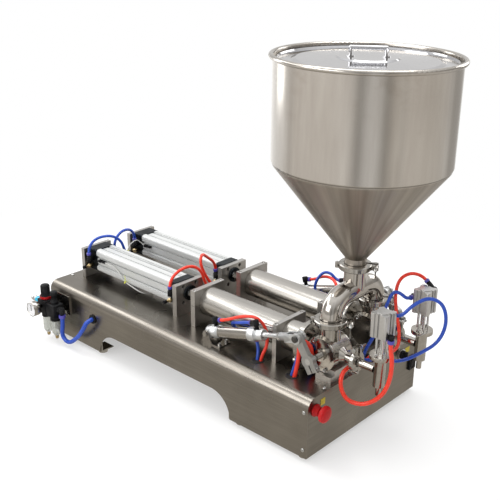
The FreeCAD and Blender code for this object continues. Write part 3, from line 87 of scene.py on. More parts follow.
# Air hoses: colour, outside diameter and the points that each route passes
HOSES = {
    "near_drive_rear_hose": ("blue", 0.008, [
        (-0.409, -0.1295, 0.236), (-0.409, -0.1295, 0.257), (-0.403, -0.108, 0.281),
        (-0.391, -0.066, 0.283), (-0.382, -0.034, 0.262), (-0.378, -0.024, 0.224),
        (-0.371, -0.008, 0.188), (-0.369, -0.002, 0.15)]),
    "far_drive_rear_hose": ("blue", 0.008, [
        (-0.409, 0.0385, 0.236), (-0.409, 0.0385, 0.258), (-0.404, 0.012, 0.279),
        (-0.4, -0.022, 0.278), (-0.398, -0.046, 0.256), (-0.396, -0.047, 0.222),
        (-0.386, -0.02, 0.196), (-0.378, -0.002, 0.174), (-0.379, 0, 0.15)]),
    "near_drive_front_hose": ("red", 0.008, [
        (-0.067, -0.1295, 0.236), (-0.067, -0.1295, 0.257), (-0.058, -0.104, 0.283),
        (-0.044, -0.07, 0.29), (-0.034, -0.046, 0.27), (-0.031, -0.037, 0.232),
        (-0.014, -0.013, 0.192), (-0.009, -0.006, 0.15)]),
    "far_drive_front_hose": ("red", 0.008, [
        (-0.067, 0.0385, 0.236), (-0.067, 0.0385, 0.257), (-0.066, 0.008, 0.284),
        (-0.059, -0.022, 0.306), (-0.049, -0.037, 0.28), (-0.038, -0.018, 0.232),
        (-0.016, 0.002, 0.196), (-0.006, 0.007, 0.15)]),
    "near_actuator_rear_hose": ("red", 0.008, [
        (0.1426, -0.158, 0.225), (0.1626, -0.158, 0.2308), (0.206, -0.152, 0.254),
        (0.246, -0.146, 0.266), (0.268, -0.138, 0.253), (0.278, -0.134, 0.227),
        (0.282, -0.138, 0.196), (0.277, -0.152, 0.174), (0.276, -0.156, 0.15)]),
    "near_actuator_front_hose": ("blue", 0.008, [
        (0.2486, -0.158, 0.2538), (0.226, -0.158, 0.2472), (0.2, -0.155, 0.236),
        (0.17, -0.144, 0.224), (0.168, -0.128, 0.2), (0.205, -0.13, 0.21), (0.236, -0.131, 0.21),
        (0.256, -0.14, 0.186), (0.266, -0.152, 0.17), (0.267, -0.158, 0.15)]),
    "far_actuator_rear_hose": ("red", 0.008, [
        (0.1426, 0.19, 0.225), (0.1606, 0.19, 0.2302), (0.184, 0.189, 0.246),
        (0.214, 0.184, 0.256), (0.244, 0.172, 0.256), (0.262, 0.164, 0.232), (0.277, 0.166, 0.2),
        (0.279, 0.184, 0.174), (0.277, 0.191, 0.15)]),
    "far_actuator_front_hose": ("blue", 0.008, [
        (0.2486, 0.19, 0.2538), (0.2352, 0.19, 0.2499), (0.218, 0.187, 0.267),
        (0.198, 0.178, 0.267), (0.184, 0.168, 0.242), (0.181, 0.165, 0.214), (0.202, 0.164, 0.196),
        (0.24, 0.168, 0.19), (0.264, 0.182, 0.176), (0.267, 0.188, 0.15)]),
    "near_nozzle_low_hose": ("red", 0.01, [
        (0.5925, -0.09, 0.303), (0.5925, -0.09, 0.284), (0.6, -0.09, 0.254), (0.598, -0.09, 0.208),
        (0.583, -0.094, 0.164), (0.548, -0.106, 0.132), (0.508, -0.118, 0.131),
        (0.49, -0.124, 0.162), (0.484, -0.112, 0.192), (0.484, -0.084, 0.197),
        (0.47, -0.044, 0.18), (0.44, -0.038, 0.176), (0.412, -0.044, 0.171),
        (0.41, -0.084, 0.1685), (0.41, -0.13, 0.172), (0.411, -0.129, 0.21),
        (0.408, -0.131, 0.244), (0.38, -0.139, 0.25), (0.388, -0.148, 0.2),
        (0.3818, -0.158, 0.15)]),
    "near_nozzle_high_hose": ("blue", 0.008, [
        (0.5735, -0.057, 0.347), (0.5905, -0.057, 0.347), (0.609, -0.04, 0.378),
        (0.634, -0.016, 0.396), (0.66, 0.002, 0.38), (0.668, 0.008, 0.334), (0.654, 0.004, 0.286),
        (0.616, 0, 0.248), (0.566, 0, 0.206), (0.505, -0.002, 0.19), (0.47, -0.026, 0.186),
        (0.44, -0.025, 0.182), (0.398, -0.032, 0.176), (0.398, -0.084, 0.1685),
        (0.399, -0.125, 0.171), (0.402, -0.124, 0.204), (0.402, -0.125, 0.226),
        (0.381, -0.131, 0.23), (0.377, -0.146, 0.19), (0.3724, -0.158, 0.15)]),
    "far_nozzle_high_hose": ("red", 0.008, [
        (0.5522, 0.111, 0.3675), (0.5382, 0.111, 0.378), (0.52, 0.086, 0.388),
        (0.507, 0.06, 0.376), (0.506, 0.05, 0.34), (0.512, 0.052, 0.296), (0.522, 0.056, 0.25),
        (0.53, 0.046, 0.208), (0.5, 0.022, 0.19), (0.466, 0.008, 0.182), (0.462, 0.006, 0.15)]),
    "far_nozzle_low_hose": ("blue", 0.008, [
        (0.5385, 0.069, 0.337), (0.5385, 0.052, 0.337), (0.524, 0.04, 0.354),
        (0.508, 0.036, 0.352), (0.498, 0.032, 0.32), (0.487, 0.026, 0.272), (0.474, 0.018, 0.226),
        (0.457, 0.01, 0.186), (0.454, 0.007, 0.15)]),
    "supply_hose": ("blue", 0.012, [
        (-0.383, -0.252, 0.094), (-0.383, -0.252, 0.064), (-0.393, -0.252, 0.028),
        (-0.366, -0.249, 0.01), (-0.324, -0.246, 0.044), (-0.294, -0.246, 0.082),
        (-0.285, -0.24, 0.105), (-0.285, -0.212, 0.105)]),
}

# Cables of the position sensors: each runs to a tie, then down through the table
CABLE_D = 0.003
CABLES = {
    "near_sensor_cable": [
        (-0.35, -0.1187, 0.2235), (-0.334, -0.1187, 0.2235), (-0.305, -0.1187, 0.222),
        (-0.284, -0.1189, 0.206), (-0.264, -0.1192, 0.19), (-0.238, -0.1197, 0.1865),
        (-0.212, -0.1195, 0.181), (-0.196, -0.113, 0.1755), (-0.193, -0.095, 0.17),
        (-0.205, -0.07, 0.1655), (-0.235, -0.03, 0.1642), (-0.29, 0.004, 0.1642),
        (-0.345, 0.01, 0.1645), (-0.3675, 0.0065, 0.1668), (-0.369, 0.007, 0.158),
        (-0.369, 0.007, 0.148)],
    "far_sensor_cable": [
        (-0.378, 0.0487, 0.2235), (-0.384, 0.0485, 0.2245), (-0.389, 0.044, 0.232),
        (-0.388, 0.03, 0.2435), (-0.382, 0.01, 0.2445), (-0.3775, -0.008, 0.2385),
        (-0.372, -0.0205, 0.228), (-0.3665, -0.0125, 0.205), (-0.3655, -0.0045, 0.185),
        (-0.3655, 0.003, 0.165), (-0.366, 0.0035, 0.148)],
}

# The two hoses of each small cylinder, which tilts: their collars ride on it, and each hose is made
# as a still mesh tube with no bend of its own
TILTING = {f"{row}_actuator_{end}_hose": f"{row}_actuator"
           for row in ROWS for end in ("rear", "front")}

# Rubber grommets in the table's hose holes, one of them spare: (X, Y). Their dark skins close the
# holes as painted shade of the cabinet's inside
HOSE_HOLES = ((-0.375, 0.0), (-0.008, 0.0), (0.458, 0.0), (0.272, -0.158), (0.377, -0.158),
              (0.272, 0.19), (0.377, 0.19))

# Surroundings as the hopper mirrors them: (degrees from +X, brightness, warmth)
WALLS = ((-180, 0.62, 0.2), (-168, 0.66, 0.2), (-161, 0.60, 0.5), (-152, 0.44, 0.9),
         (-144, 0.57, 1.0), (-96, 0.56, 1.0), (-73, 0.60, 0.7), (-61, 0.25, 0.8), (-51, 0.51, 0.3),
         (-41, 0.54, 0.3), (-30, 0.25, 1.2), (-18, 0.48, 1.3), (-11, 0.42, 1.2), (-2, 0.50, 1.2),
         (26, 0.45, 1.3), (45, 0.43, 1.2), (60, 0.46, 0.7), (72, 0.28, 1.0), (96, 0.28, 1.0),
         (116, 0.80, 0.3), (150, 0.74, 0.2), (180, 0.62, 0.2))

# Area lamps: name, place, aim, width, height, watts
LAMPS = (
    ("overhead", (-0.2, 0.2, 3.0), (0.0, 0.0, 0.3), 3.0, 1.0, 50.0),
    ("near_strip", (-0.5, -2.7, 1.5), (-0.1, 0.0, 0.2), 2.6, 1.2, 34.0),
    ("bend_strip", (-1.9, -1.3, 2.2), (0.0, -0.2, 0.16), 3.0, 0.8, 19.0),
    ("left_strip", (-2.8, -0.2, 1.2), (0.2, 0.0, 0.5), 1.0, 2.2, 20.0),
    ("right_strip", (0.6, 3.0, 1.6), (0.3, 0.0, 0.4), 1.6, 1.4, 20.0),
)


# Building blocks for shapes
def add_object(name, data):
    thing = bpy.data.objects.new(name, data)
    scene.collection.objects.link(thing)
    return thing


def add_shape(shape, name, finishes, sharp=None):
    """Object from a bmesh. Where sharp is given, edges are smooth up to that many degrees."""
    if sharp:
        for face in shape.faces:
            face.smooth = True
    mesh = bpy.data.meshes.new(name)
    shape.to_mesh(mesh)
    shape.free()
    if sharp:
        mesh.set_sharp_from_angle(angle=math.radians(sharp))
    for finish in finishes:
        mesh.materials.append(finish)
    return add_object(name, mesh)


def lathe(shape, profile, steps, at=(0.0, 0.0, 0.0), closed=True):
    """Spin a profile of (radius, height) pairs round the Z axis through a point."""
    x, y, z = at
    corners = [shape.verts.new((x + radius, y, z + height)) for radius, height in profile]
    following = corners[1:] + corners[:1] if closed else corners[1:]
    edges = [shape.edges.new(pair) for pair in zip(corners, following)]
    bmesh.ops.spin(shape, geom=corners + edges, cent=at, axis=(0, 0, 1), angle=math.tau,
                   steps=steps, use_merge=True)


def hose_line(name, points, diameter):
    """Smooth round curve along a route."""
    line = bpy.data.curves.new(name, "CURVE")
    line.dimensions = "3D"
    line.resolution_u = 12
    line.bevel_resolution = 5
    line.bevel_depth = diameter / 2
    line.use_fill_caps = True
    spline = line.splines.new("NURBS")
    spline.points.add(len(points) - 1)
    for slot, point in zip(spline.points, points):
        slot.co = (*point, 1.0)
    spline.order_u = 3
    spline.use_endpoint_u = True
    return add_object(name, line)


def line_points(hose):
    """Points along a hose's own centre line, and its length."""
    depth = hose.data.bevel_depth
    hose.data.bevel_depth = 0.0
    bpy.context.view_layer.update()
    mesh = bpy.data.meshes.new_from_object(hose)
    points = [v.co.copy() for v in mesh.vertices]
    bpy.data.meshes.remove(mesh)
    hose.data.bevel_depth = depth
    length = sum((b - a).length for a, b in zip(points, points[1:]))
    return points, length


def near_point(points, target):
    """Point of a centre line nearest to a place, and the line's direction there."""
    k = min(range(1, len(points) - 1), key=lambda n: (points[n] - Vector(target)).length)
    return points[k], (points[k + 1] - points[k - 1]).normalized()


# Building blocks for finishes. Patterns read Object coordinates, so they stay on the piece as
# it moves.
def put(tree, socket, value):
    """Link a socket to another one, or give it a number, a vector or a colour."""
    if isinstance(value, bpy.types.NodeSocket):
        tree.links.new(value, socket)
    else:
        socket.default_value = (*value, 1.0) if socket.type == "RGBA" else value


def maths(tree, operation, *values):
    node = tree.nodes.new("ShaderNodeMath")
    node.operation = operation
    for socket, value in zip(node.inputs, values):
        put(tree, socket, value)
    return node.outputs[0]


def vector_maths(tree, operation, *values, result="Vector"):
    node = tree.nodes.new("ShaderNodeVectorMath")
    node.operation = operation
    for socket, value in zip(node.inputs, values):
        put(tree, socket, value)
    return node.outputs[result]


def axes(tree, vector):
    """X, Y and Z of a vector."""
    node = tree.nodes.new("ShaderNodeSeparateXYZ")
    tree.links.new(vector, node.inputs[0])
    return tuple(node.outputs)


def spread(tree, value, low, high, start=0.3, end=0.7):
    """Map start..end to low..high. The usual start and end are those of noise."""
    node = tree.nodes.new("ShaderNodeMapRange")
    for socket, number in (("Value", value), ("From Min", start), ("From Max", end),
                           ("To Min", low), ("To Max", high)):
        put(tree, node.inputs[socket], number)
    return node.outputs["Result"]


def blend_colours(tree, factor, first, second):
    node = tree.nodes.new("ShaderNodeMix")
    node.data_type = "RGBA"
    put(tree, node.inputs["Factor"], factor)
    put(tree, node.inputs[6], first)
    put(tree, node.inputs[7], second)
    return node.outputs[2]


def stretched(tree, place, scale, detail=3.0):
    """Noise pulled out along an axis: scale is its count per metre on each axis."""
    mapping = tree.nodes.new("ShaderNodeMapping")
    mapping.inputs["Scale"].default_value = scale
    noise = tree.nodes.new("ShaderNodeTexNoise")
    noise.inputs["Scale"].default_value = 1.0
    noise.inputs["Detail"].default_value = detail
    noise.inputs["Roughness"].default_value = 0.6
    tree.links.new(place, mapping.inputs["Vector"])
    tree.links.new(mapping.outputs["Vector"], noise.inputs["Vector"])
    return noise.outputs["Fac"]


def add_bump(tree, shader, height, strength, distance):
    bump = tree.nodes.new("ShaderNodeBump")
    bump.inputs["Strength"].default_value = strength
    bump.inputs["Distance"].default_value = distance
    tree.links.new(height, bump.inputs["Height"])
    tree.links.new(bump.outputs["Normal"], shader.inputs["Normal"])


def new_finish(name):
    material = bpy.data.materials.new(name)
    material.use_nodes = True
    tree = material.node_tree
    shader = tree.nodes["Principled BSDF"]
    place = tree.nodes.new("ShaderNodeTexCoord").outputs["Object"]
    return material, tree, shader, place


# Share of the grain in a metal's colour, the rest being its marks, and heights of the bumps
GRAIN_SHARE = 0.45
METAL_BUMP = 0.0004
PLASTIC_BUMP = 0.0002
# How rough a plastic's duller and glossier patches are, next to its own roughness
DULLER, GLOSSIER = 1.25, 0.85


def metal(name, dark, light, rough, grain, depth=0.15, marks=(7, 7, 7), bare=1.0):
    """Metal with a fine grain and broad cloudy marks that change its colour and gloss."""
    material, tree, shader, place = new_finish(name)
    shader.inputs["Metallic"].default_value = bare
    fine = stretched(tree, place, grain)
    cloud = stretched(tree, place, marks, 2.0)
    both = maths(tree, "MULTIPLY_ADD", fine, GRAIN_SHARE,
                 maths(tree, "MULTIPLY", cloud, 1 - GRAIN_SHARE))
    tone = spread(tree, both, 0.0, 1.0, 0.34, 0.66)
    put(tree, shader.inputs["Base Color"], blend_colours(tree, tone, dark, light))
    put(tree, shader.inputs["Roughness"], spread(tree, cloud, rough[1], rough[0]))
    add_bump(tree, shader, fine, depth, METAL_BUMP)
    return material


# The cone's brushed colours and gloss, and the heights about the weld where they fade in
CONE_DARK = (0.27, 0.243, 0.213)
CONE_LIGHT = (0.42, 0.383, 0.34)
CONE_ROUGH = 0.34
CONE_FADE = (-0.004, 0.001)

WELD_COLOUR = (0.24, 0.22, 0.20)
WELD_HALF_WIDTH = 0.0012

# Smears of the bowl: heights over the weld between which they come in, and their strength
SMEAR_COLOUR = (0.30, 0.25, 0.205)
SMEAR_HEIGHTS = (0.05, 0.21)
SMEAR_STRENGTH = 0.30


def hopper_finish():
    """Polished bowl with old smears, over a duller cone that is brushed from rim to neck."""
    material = metal("hopper_steel", (0.43, 0.40, 0.365), (0.51, 0.485, 0.445), (0.15, 0.21),
                     (60, 60, 6), 0.02, (4, 4, 4))
    tree = material.node_tree
    shader = tree.nodes["Principled BSDF"]
    place = tree.nodes["Texture Coordinate"].outputs["Object"]
    polished = shader.inputs["Base Color"].links[0].from_socket
    gloss = shader.inputs["Roughness"].links[0].from_socket
    height = axes(tree, place)[2]

    smears = spread(tree, stretched(tree, place, (11, 11, 16), 4.0), 0.0, 1.0, 0.57, 0.72)
    high = spread(tree, height, 0.0, SMEAR_STRENGTH, *(BOWL_FLOOR + z for z in SMEAR_HEIGHTS))
    bowl_colour = blend_colours(tree, maths(tree, "MULTIPLY", smears, high), polished,
                                SMEAR_COLOUR)

    from_axis = vector_maths(tree, "MULTIPLY_ADD", place, (1.0, 1.0, 0.0), (-HOPPER_X, 0.0, 0.0))
    around = vector_maths(tree, "NORMALIZE", from_axis)
    streaks = spread(tree, stretched(tree, around, (9, 9, 9), 6.0), 0.0, 1.0)
    cone_colour = blend_colours(tree, streaks, CONE_DARK, CONE_LIGHT)

    in_cone = spread(tree, height, 1.0, 0.0, *(BOWL_FLOOR + z for z in CONE_FADE))
    walls = blend_colours(tree, in_cone, bowl_colour, cone_colour)
    at_weld = maths(tree, "COMPARE", height, BOWL_FLOOR, WELD_HALF_WIDTH)
    put(tree, shader.inputs["Base Color"], blend_colours(tree, at_weld, walls, WELD_COLOUR))
    rough = tree.nodes.new("ShaderNodeMix")
    put(tree, rough.inputs[0], in_cone)
    put(tree, rough.inputs[2], gloss)
    put(tree, rough.inputs[3], CONE_ROUGH)
    put(tree, shader.inputs["Roughness"], rough.outputs[0])
    return material


def plastic(name, colour, rough, grain=900.0, depth=0.1, coat=0.0, worn=0.18, shine=0.35):
    """Moulded plastic or paint: a faint mottle, a fine pebble and a duller patch here and there."""
    material, tree, shader, place = new_finish(name)
    fine = stretched(tree, place, (grain, grain, grain), 2.0)
    cloud = stretched(tree, place, (30, 30, 30), 3.0)
    pale = tuple(c + (1 - c) * worn * 0.08 for c in colour)
    deep = tuple(c * (1 - worn) for c in colour)
    tone = spread(tree, cloud, 0.0, 1.0)
    put(tree, shader.inputs["Base Color"], blend_colours(tree, tone, deep, pale))
    put(tree, shader.inputs["Roughness"], spread(tree, cloud, rough * DULLER, rough * GLOSSIER))
    shader.inputs["Specular IOR Level"].default_value = shine
    shader.inputs["Coat Weight"].default_value = coat
    shader.inputs["Coat Roughness"].default_value = 0.08
    add_bump(tree, shader, fine, depth, PLASTIC_BUMP)
    return material


def clear_bowl_finish():
    """Clear moulded bowl, a little cloudy in places."""
    material, tree, shader, place = new_finish("clear_bowl")
    cloud = stretched(tree, place, (60, 60, 25), 3.0)
    tone = spread(tree, cloud, 0.0, 1.0)
    put(tree, shader.inputs["Base Color"],
        blend_colours(tree, tone, (0.83, 0.86, 0.84), (0.93, 0.95, 0.94)))
    put(tree, shader.inputs["Roughness"], spread(tree, cloud, 0.16, 0.07))
    shader.inputs["Transmission Weight"].default_value = 0.86
    shader.inputs["IOR"].default_value = 1.49
    return material


steel = {
    "cabinet": metal("cabinet_steel", (0.20, 0.182, 0.158), (0.28, 0.258, 0.228),
                     (0.22, 0.32), (7, 420, 420), 0.06),
    "end_panel": metal("end_panel_steel", (0.17, 0.155, 0.135), (0.26, 0.24, 0.21),
                       (0.26, 0.36), (420, 7, 420), 0.06),
    "hopper": hopper_finish(),
    "lid": metal("lid_steel", (0.50, 0.50, 0.515), (0.62, 0.62, 0.635),
                 (0.06, 0.12), (160, 160, 160), 0.01, (5, 5, 5)),
    "tube": metal("tube_steel", (0.39, 0.372, 0.346), (0.49, 0.472, 0.437),
                  (0.18, 0.26), (4, 130, 130), 0.03),
    "turned": metal("turned_steel", (0.36, 0.335, 0.30), (0.48, 0.455, 0.415),
                    (0.13, 0.22), (90, 90, 90), 0.03, (14, 14, 14)),
    "pipe": metal("pipe_steel", (0.385, 0.358, 0.326), (0.495, 0.468, 0.431),
                  (0.08, 0.15), (50, 50, 50), 0.015, (9, 9, 9)),
    "clamp": metal("clamp_steel", (0.30, 0.285, 0.26), (0.44, 0.42, 0.39),
                   (0.13, 0.24), (150, 150, 150), 0.06, (30, 30, 30)),
    "screw": metal("screw_steel", (0.42, 0.42, 0.41), (0.62, 0.62, 0.61),
                   (0.16, 0.26), (300, 300, 300), 0.04, (60, 60, 60)),
    "chrome": metal("chrome_rod", (0.58, 0.58, 0.58), (0.70, 0.70, 0.70),
                    (0.07, 0.14), (500, 30, 30), 0.02),
    "small_tube": metal("small_tube_steel", (0.31, 0.29, 0.265), (0.40, 0.38, 0.35),
                        (0.20, 0.28), (4, 160, 160), 0.03),
    "dark": metal("dark_bolt", (0.06, 0.058, 0.055), (0.12, 0.115, 0.11),
                  (0.26, 0.38), (200, 200, 200), 0.05, (60, 60, 60)),
}
aluminium = {
    "plate": metal("plate_aluminium", (0.42, 0.405, 0.385), (0.52, 0.505, 0.485),
                   (0.33, 0.43), (180, 180, 500), 0.06, (22, 22, 22)),
    "profile": metal("profile_aluminium", (0.53, 0.54, 0.535), (0.61, 0.62, 0.615),
                     (0.44, 0.52), (3, 90, 90), 0.02, bare=0.4),
    "white": metal("white_aluminium", (0.56, 0.57, 0.575), (0.68, 0.69, 0.695),
                   (0.34, 0.44), (200, 200, 200), 0.04, (30, 30, 30)),
    "cylinder": metal("cylinder_aluminium", (0.50, 0.495, 0.485), (0.60, 0.595, 0.585),
                      (0.30, 0.40), (200, 200, 200), 0.03, (30, 30, 30)),
    "lever": metal("lever_aluminium", (0.36, 0.36, 0.35), (0.46, 0.46, 0.45),
                   (0.36, 0.46), (200, 200, 200), 0.06, (30, 30, 30)),
}
brass = metal("brass", (0.36, 0.27, 0.13), (0.58, 0.46, 0.26),
              (0.22, 0.34), (220, 220, 220), 0.05, (60, 60, 60))
black_cap = metal("black_anodised", (0.012, 0.014, 0.017), (0.032, 0.037, 0.042),
                  (0.36, 0.48), (260, 260, 260), 0.06, (30, 30, 30))
black = plastic("black_plastic", (0.005, 0.005, 0.006), 0.34, shine=0.06)
rubber = plastic("foot_rubber", (0.016, 0.016, 0.016), 0.72, 600.0, 0.3)
red = plastic("red_plastic", (0.44, 0.003, 0.005), 0.34, 700.0, 0.05, shine=0.16)
cyan = plastic("cyan_plastic", (0.015, 0.34, 0.52), 0.28, 700.0, 0.05, coat=0.1)
yellow = plastic("yellow_plate", (0.55, 0.44, 0.02), 0.45, 500.0, 0.05)
lime = plastic("tie_plastic", (0.72, 0.74, 0.08), 0.4, 500.0, 0.05)
violet = plastic("release_collar", (0.06, 0.05, 0.34), 0.3, 700.0, 0.05, coat=0.3)
white_paint = plastic("dial_white", (0.66, 0.66, 0.67), 0.5, 400.0, 0.02, worn=0.05)
pale_cable = plastic("sensor_cable", (0.52, 0.52, 0.50), 0.45, 600.0, 0.1)
hose_finish = {
    "blue": plastic("blue_hose", (0.012, 0.062, 0.41), 0.32, 300.0, 0.02, coat=0.08, worn=0.15),
    "red": plastic("red_hose", (0.78, 0.036, 0.014), 0.32, 300.0, 0.02, coat=0.08, worn=0.15),
}
clear_bowl = clear_bowl_finish()

# CAD nodes that keep their mesh and get one finish
FINISHES = {
    "cabinet_shell": steel["cabinet"],
    "cabinet_front_panel": steel["end_panel"],
    "cabinet_rear_panel": steel["end_panel"],
    "drive_plates": aluminium["plate"],
    "drive_barrels": aluminium["profile"],
    "drive_end_caps": black_cap,
    "product_tubes": steel["tube"],
    "tube_clamp_plates": aluminium["plate"],
    "pipe_clamps": steel["clamp"],
    "hopper_wing_nut": steel["clamp"],
    "near_wing_nut": steel["clamp"],
    "far_wing_nut": steel["clamp"],
    "valve_bodies": steel["turned"],
    "valve_covers": steel["turned"],
    "valve_blocks": aluminium["plate"],
    "near_valve_spool": steel["chrome"],
    "far_valve_spool": steel["chrome"],
    "near_valve_lever": aluminium["lever"],
    "far_valve_lever": aluminium["lever"],
    "actuator_brackets": steel["clamp"],
    "manifold": steel["pipe"],
    "hopper": steel["hopper"],
    "hopper_lid": steel["lid"],
    "outlet_pipes": steel["pipe"],
    "nozzle_bodies": steel["turned"],
    "nozzle_posts": steel["chrome"],
    "nozzle_cylinders": aluminium["cylinder"],
    "near_nozzle_stem": steel["chrome"],
    "far_nozzle_stem": steel["chrome"],
    "estop_button": red,
    "selector_knob": black,
    "shutoff_sleeve": cyan,
    "reed_sensors": black,
}

# CAD nodes that get a small rounding on their sharp edges, and its width
ROUNDED = {
    "drive_plates": 0.0007,
    "tube_clamp_plates": 0.0007,
    "valve_blocks": 0.0007,
    "drive_end_caps": 0.0007,
    "actuator_brackets": 0.0005,
    "nozzle_cylinders": 0.0004,
    "valve_covers": 0.0006,
    "nozzle_bodies": 0.0006,
}
SAME_POINT = 1e-6


def round_edges(name, width):
    weld = nodes[name].modifiers.new("weld", "WELD")
    weld.merge_threshold = SAME_POINT
    bevel = nodes[name].modifiers.new("edges", "BEVEL")
    bevel.width = width
    bevel.segments = 2
    bevel.limit_method = "ANGLE"
    bevel.angle_limit = math.radians(40)
    bevel.harden_normals = True


def islands(shape):
    """Separate solids of a mesh, as lists of faces."""
    left = set(shape.faces)
    found = []
    while left:
        queue = [left.pop()]
        island = []
        while queue:
            face = queue.pop()
            island.append(face)
            for edge in face.edges:
                for other in edge.link_faces:
                    if other in left:
                        left.remove(other)
                        queue.append(other)
        found.append(island)
    return found


def dressed_copy(name, finishes, choose):
    """Copy of a CAD node with several finishes.

    choose takes a solid's centre and size and a face's middle and normal, and gives the place
    of that face's finish in the list.
    """
    shape = bmesh.new()
    shape.from_mesh(nodes[name].data)
    bmesh.ops.remove_doubles(shape, verts=shape.verts, dist=SAME_POINT)
    for island in islands(shape):
        corners = [v.co for face in island for v in face.verts]
        low = Vector([min(c[k] for c in corners) for k in range(3)])
        high = Vector([max(c[k] for c in corners) for k in range(3)])
        for face in island:
            face.material_index = choose((low + high) / 2, high - low,
                                         face.calc_center_median(), face.normal)
    copy = add_shape(shape, name + "_dress", finishes, sharp=32)
    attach(copy, nodes[name]["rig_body"])
    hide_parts(name)


# Sizes and places at rest that tell the solids of a node apart
ROD_LENGTH = 0.1
SMALL_TUBE_LENGTH = 0.08
CAP_OR_FORK_LENGTH = 0.04
LOCK_NUT_WIDTH = 0.013
COUPLING_NUT_X = (-0.04, 0.0)
AIR_INLET_X = -0.47
FLOW_CONTROL_Z = (0.197, 0.203)
FLOW_CONTROL_KNOB = 0.0102
PLATE_THICKNESS = 0.001
EMERGENCY_STOP_Y = -0.1
BEZEL_DEPTH = 0.02
DRAIN_WIDTH = 0.015
FOOT_CENTRE_Z = 0.0065
JOINT_PLATE_THICKNESS = 0.003
WALL_BRACKET_Y = -0.24
NEEDLE_WIDTH = 0.01
GAUGE_X, GAUGE_Z = -0.456, 0.106
DIAL_R = 0.0194
FACING_FRONT = -0.9
KNOB_BAND_Z = (0.1268, 0.1342)
FRONT_PLATE_X = (-0.05, -0.04)
REAR_PLATE_X = -0.43
PLATE_SCREW_Z = 0.18


def small_barrel_finish(centre, size, middle, normal):
    if size.x > SMALL_TUBE_LENGTH:
        return 1
    return 0 if size.x > CAP_OR_FORK_LENGTH else 2


def small_rod_finish(centre, size, middle, normal):
    if size.x > ROD_LENGTH:
        return 0
    if size.x > CAP_OR_FORK_LENGTH:
        return 1
    return 2 if size.y > LOCK_NUT_WIDTH else 3


def ram_finish(centre, size, middle, normal):
    if size.x > ROD_LENGTH:
        return 0
    return 1 if COUPLING_NUT_X[0] < centre.x < COUPLING_NUT_X[1] else 2


def fitting_finish(centre, size, middle, normal):
    """The inlet is steel, and the drives' flow controls are brass behind their black ends."""
    if centre.x < AIR_INLET_X:
        return 1
    if FLOW_CONTROL_Z[0] < centre.z < FLOW_CONTROL_Z[1] and centre.x < 0:
        return 0 if middle.y < centre.y - size.y / 2 + FLOW_CONTROL_KNOB else 2
    return 0


def panel_finish(centre, size, middle, normal):
    """Yellow plates, the emergency stop's red collar, the selector's bezel, the black rest."""
    if size.x < PLATE_THICKNESS:
        return 2
    if centre.y < EMERGENCY_STOP_Y:
        return 1
    return 3 if size.x > BEZEL_DEPTH else 0


def bowl_finish(centre, size, middle, normal):
    return 1 if size.x < DRAIN_WIDTH else 0


def foot_finish(centre, size, middle, normal):
    return 0 if centre.z < FOOT_CENTRE_Z else 1


def service_body_finish(centre, size, middle, normal):
    if size.x < JOINT_PLATE_THICKNESS:
        return 2
    return 1 if centre.y > WALL_BRACKET_Y else 0


def gauge_finish(centre, size, middle, normal):
    """Black needle over a white dial, in a steel case."""
    if size.x < NEEDLE_WIDTH:
        return 2
    from_centre = math.hypot(middle.x - GAUGE_X, middle.z - GAUGE_Z)
    return 1 if normal.y < FACING_FRONT and from_centre < DIAL_R else 0


def knob_finish(centre, size, middle, normal):
    return 1 if KNOB_BAND_Z[0] < middle.z < KNOB_BAND_Z[1] else 0


def screw_finish(centre, size, middle, normal):
    """Dark screws hold the drives to their plates, and the others are bright."""
    in_plate = FRONT_PLATE_X[0] < centre.x < FRONT_PLATE_X[1] or centre.x < REAR_PLATE_X
    return 1 if in_plate and centre.z > PLATE_SCREW_Z else 0


# Outline of a release collar, (radius, height) in radii of its hose
COLLAR_PROFILE = ((1.02, -0.4), (1.5, -0.4), (1.6, 0.6), (1.55, 1.1), (1.3, 1.35), (1.02, 1.35))


def release_collar(name, start, towards, radius, body):
    """Ring that lets a push-in hose go, round the hose's first millimetres."""
    shape = bmesh.new()
    lathe(shape, [(r * radius, h * radius) for r, h in COLLAR_PROFILE], 28)
    bmesh.ops.recalc_face_normals(shape, faces=shape.faces)
    direction = (Vector(towards) - Vector(start)).normalized()
    turn = direction.to_track_quat("Z", "Y").to_matrix().to_4x4()
    bmesh.ops.transform(shape, matrix=Matrix.Translation(start) @ turn, verts=shape.verts)
    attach(add_shape(shape, name, [violet], sharp=35), body)


def dress_hose(name, colour, diameter, points):
    """Smooth hose along its route. Gives its centre line."""
    hose = hose_line(name + "_line", points, diameter)
    hose.data.materials.append(hose_finish[colour])
    follow, length = line_points(hose)
    if name in TILTING:
        mesh = bpy.data.meshes.new_from_object(hose)
        bpy.data.objects.remove(hose)
        tube = add_object(name + "_tube", mesh)
        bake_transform(tube)
        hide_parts(name)
    else:
        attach(hose, "machine")
        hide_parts(name)
    return follow


# Cable ties: the band's width and thickness, its lock, and the tail's section and curl
TIE_WIDTH = 0.0024
TIE_THICKNESS = 0.0009
TIE_PLAY = 0.0001
LOCK_SIZE = (0.003, 0.004, 0.0036)
LOCK_ROUNDING = 0.0005
LOCK_OUT = 0.0022
TAIL_SECTION = (0.001, 0.0023)
TAIL_ASIDE = -0.0018
TAIL_CURL_R = 0.05


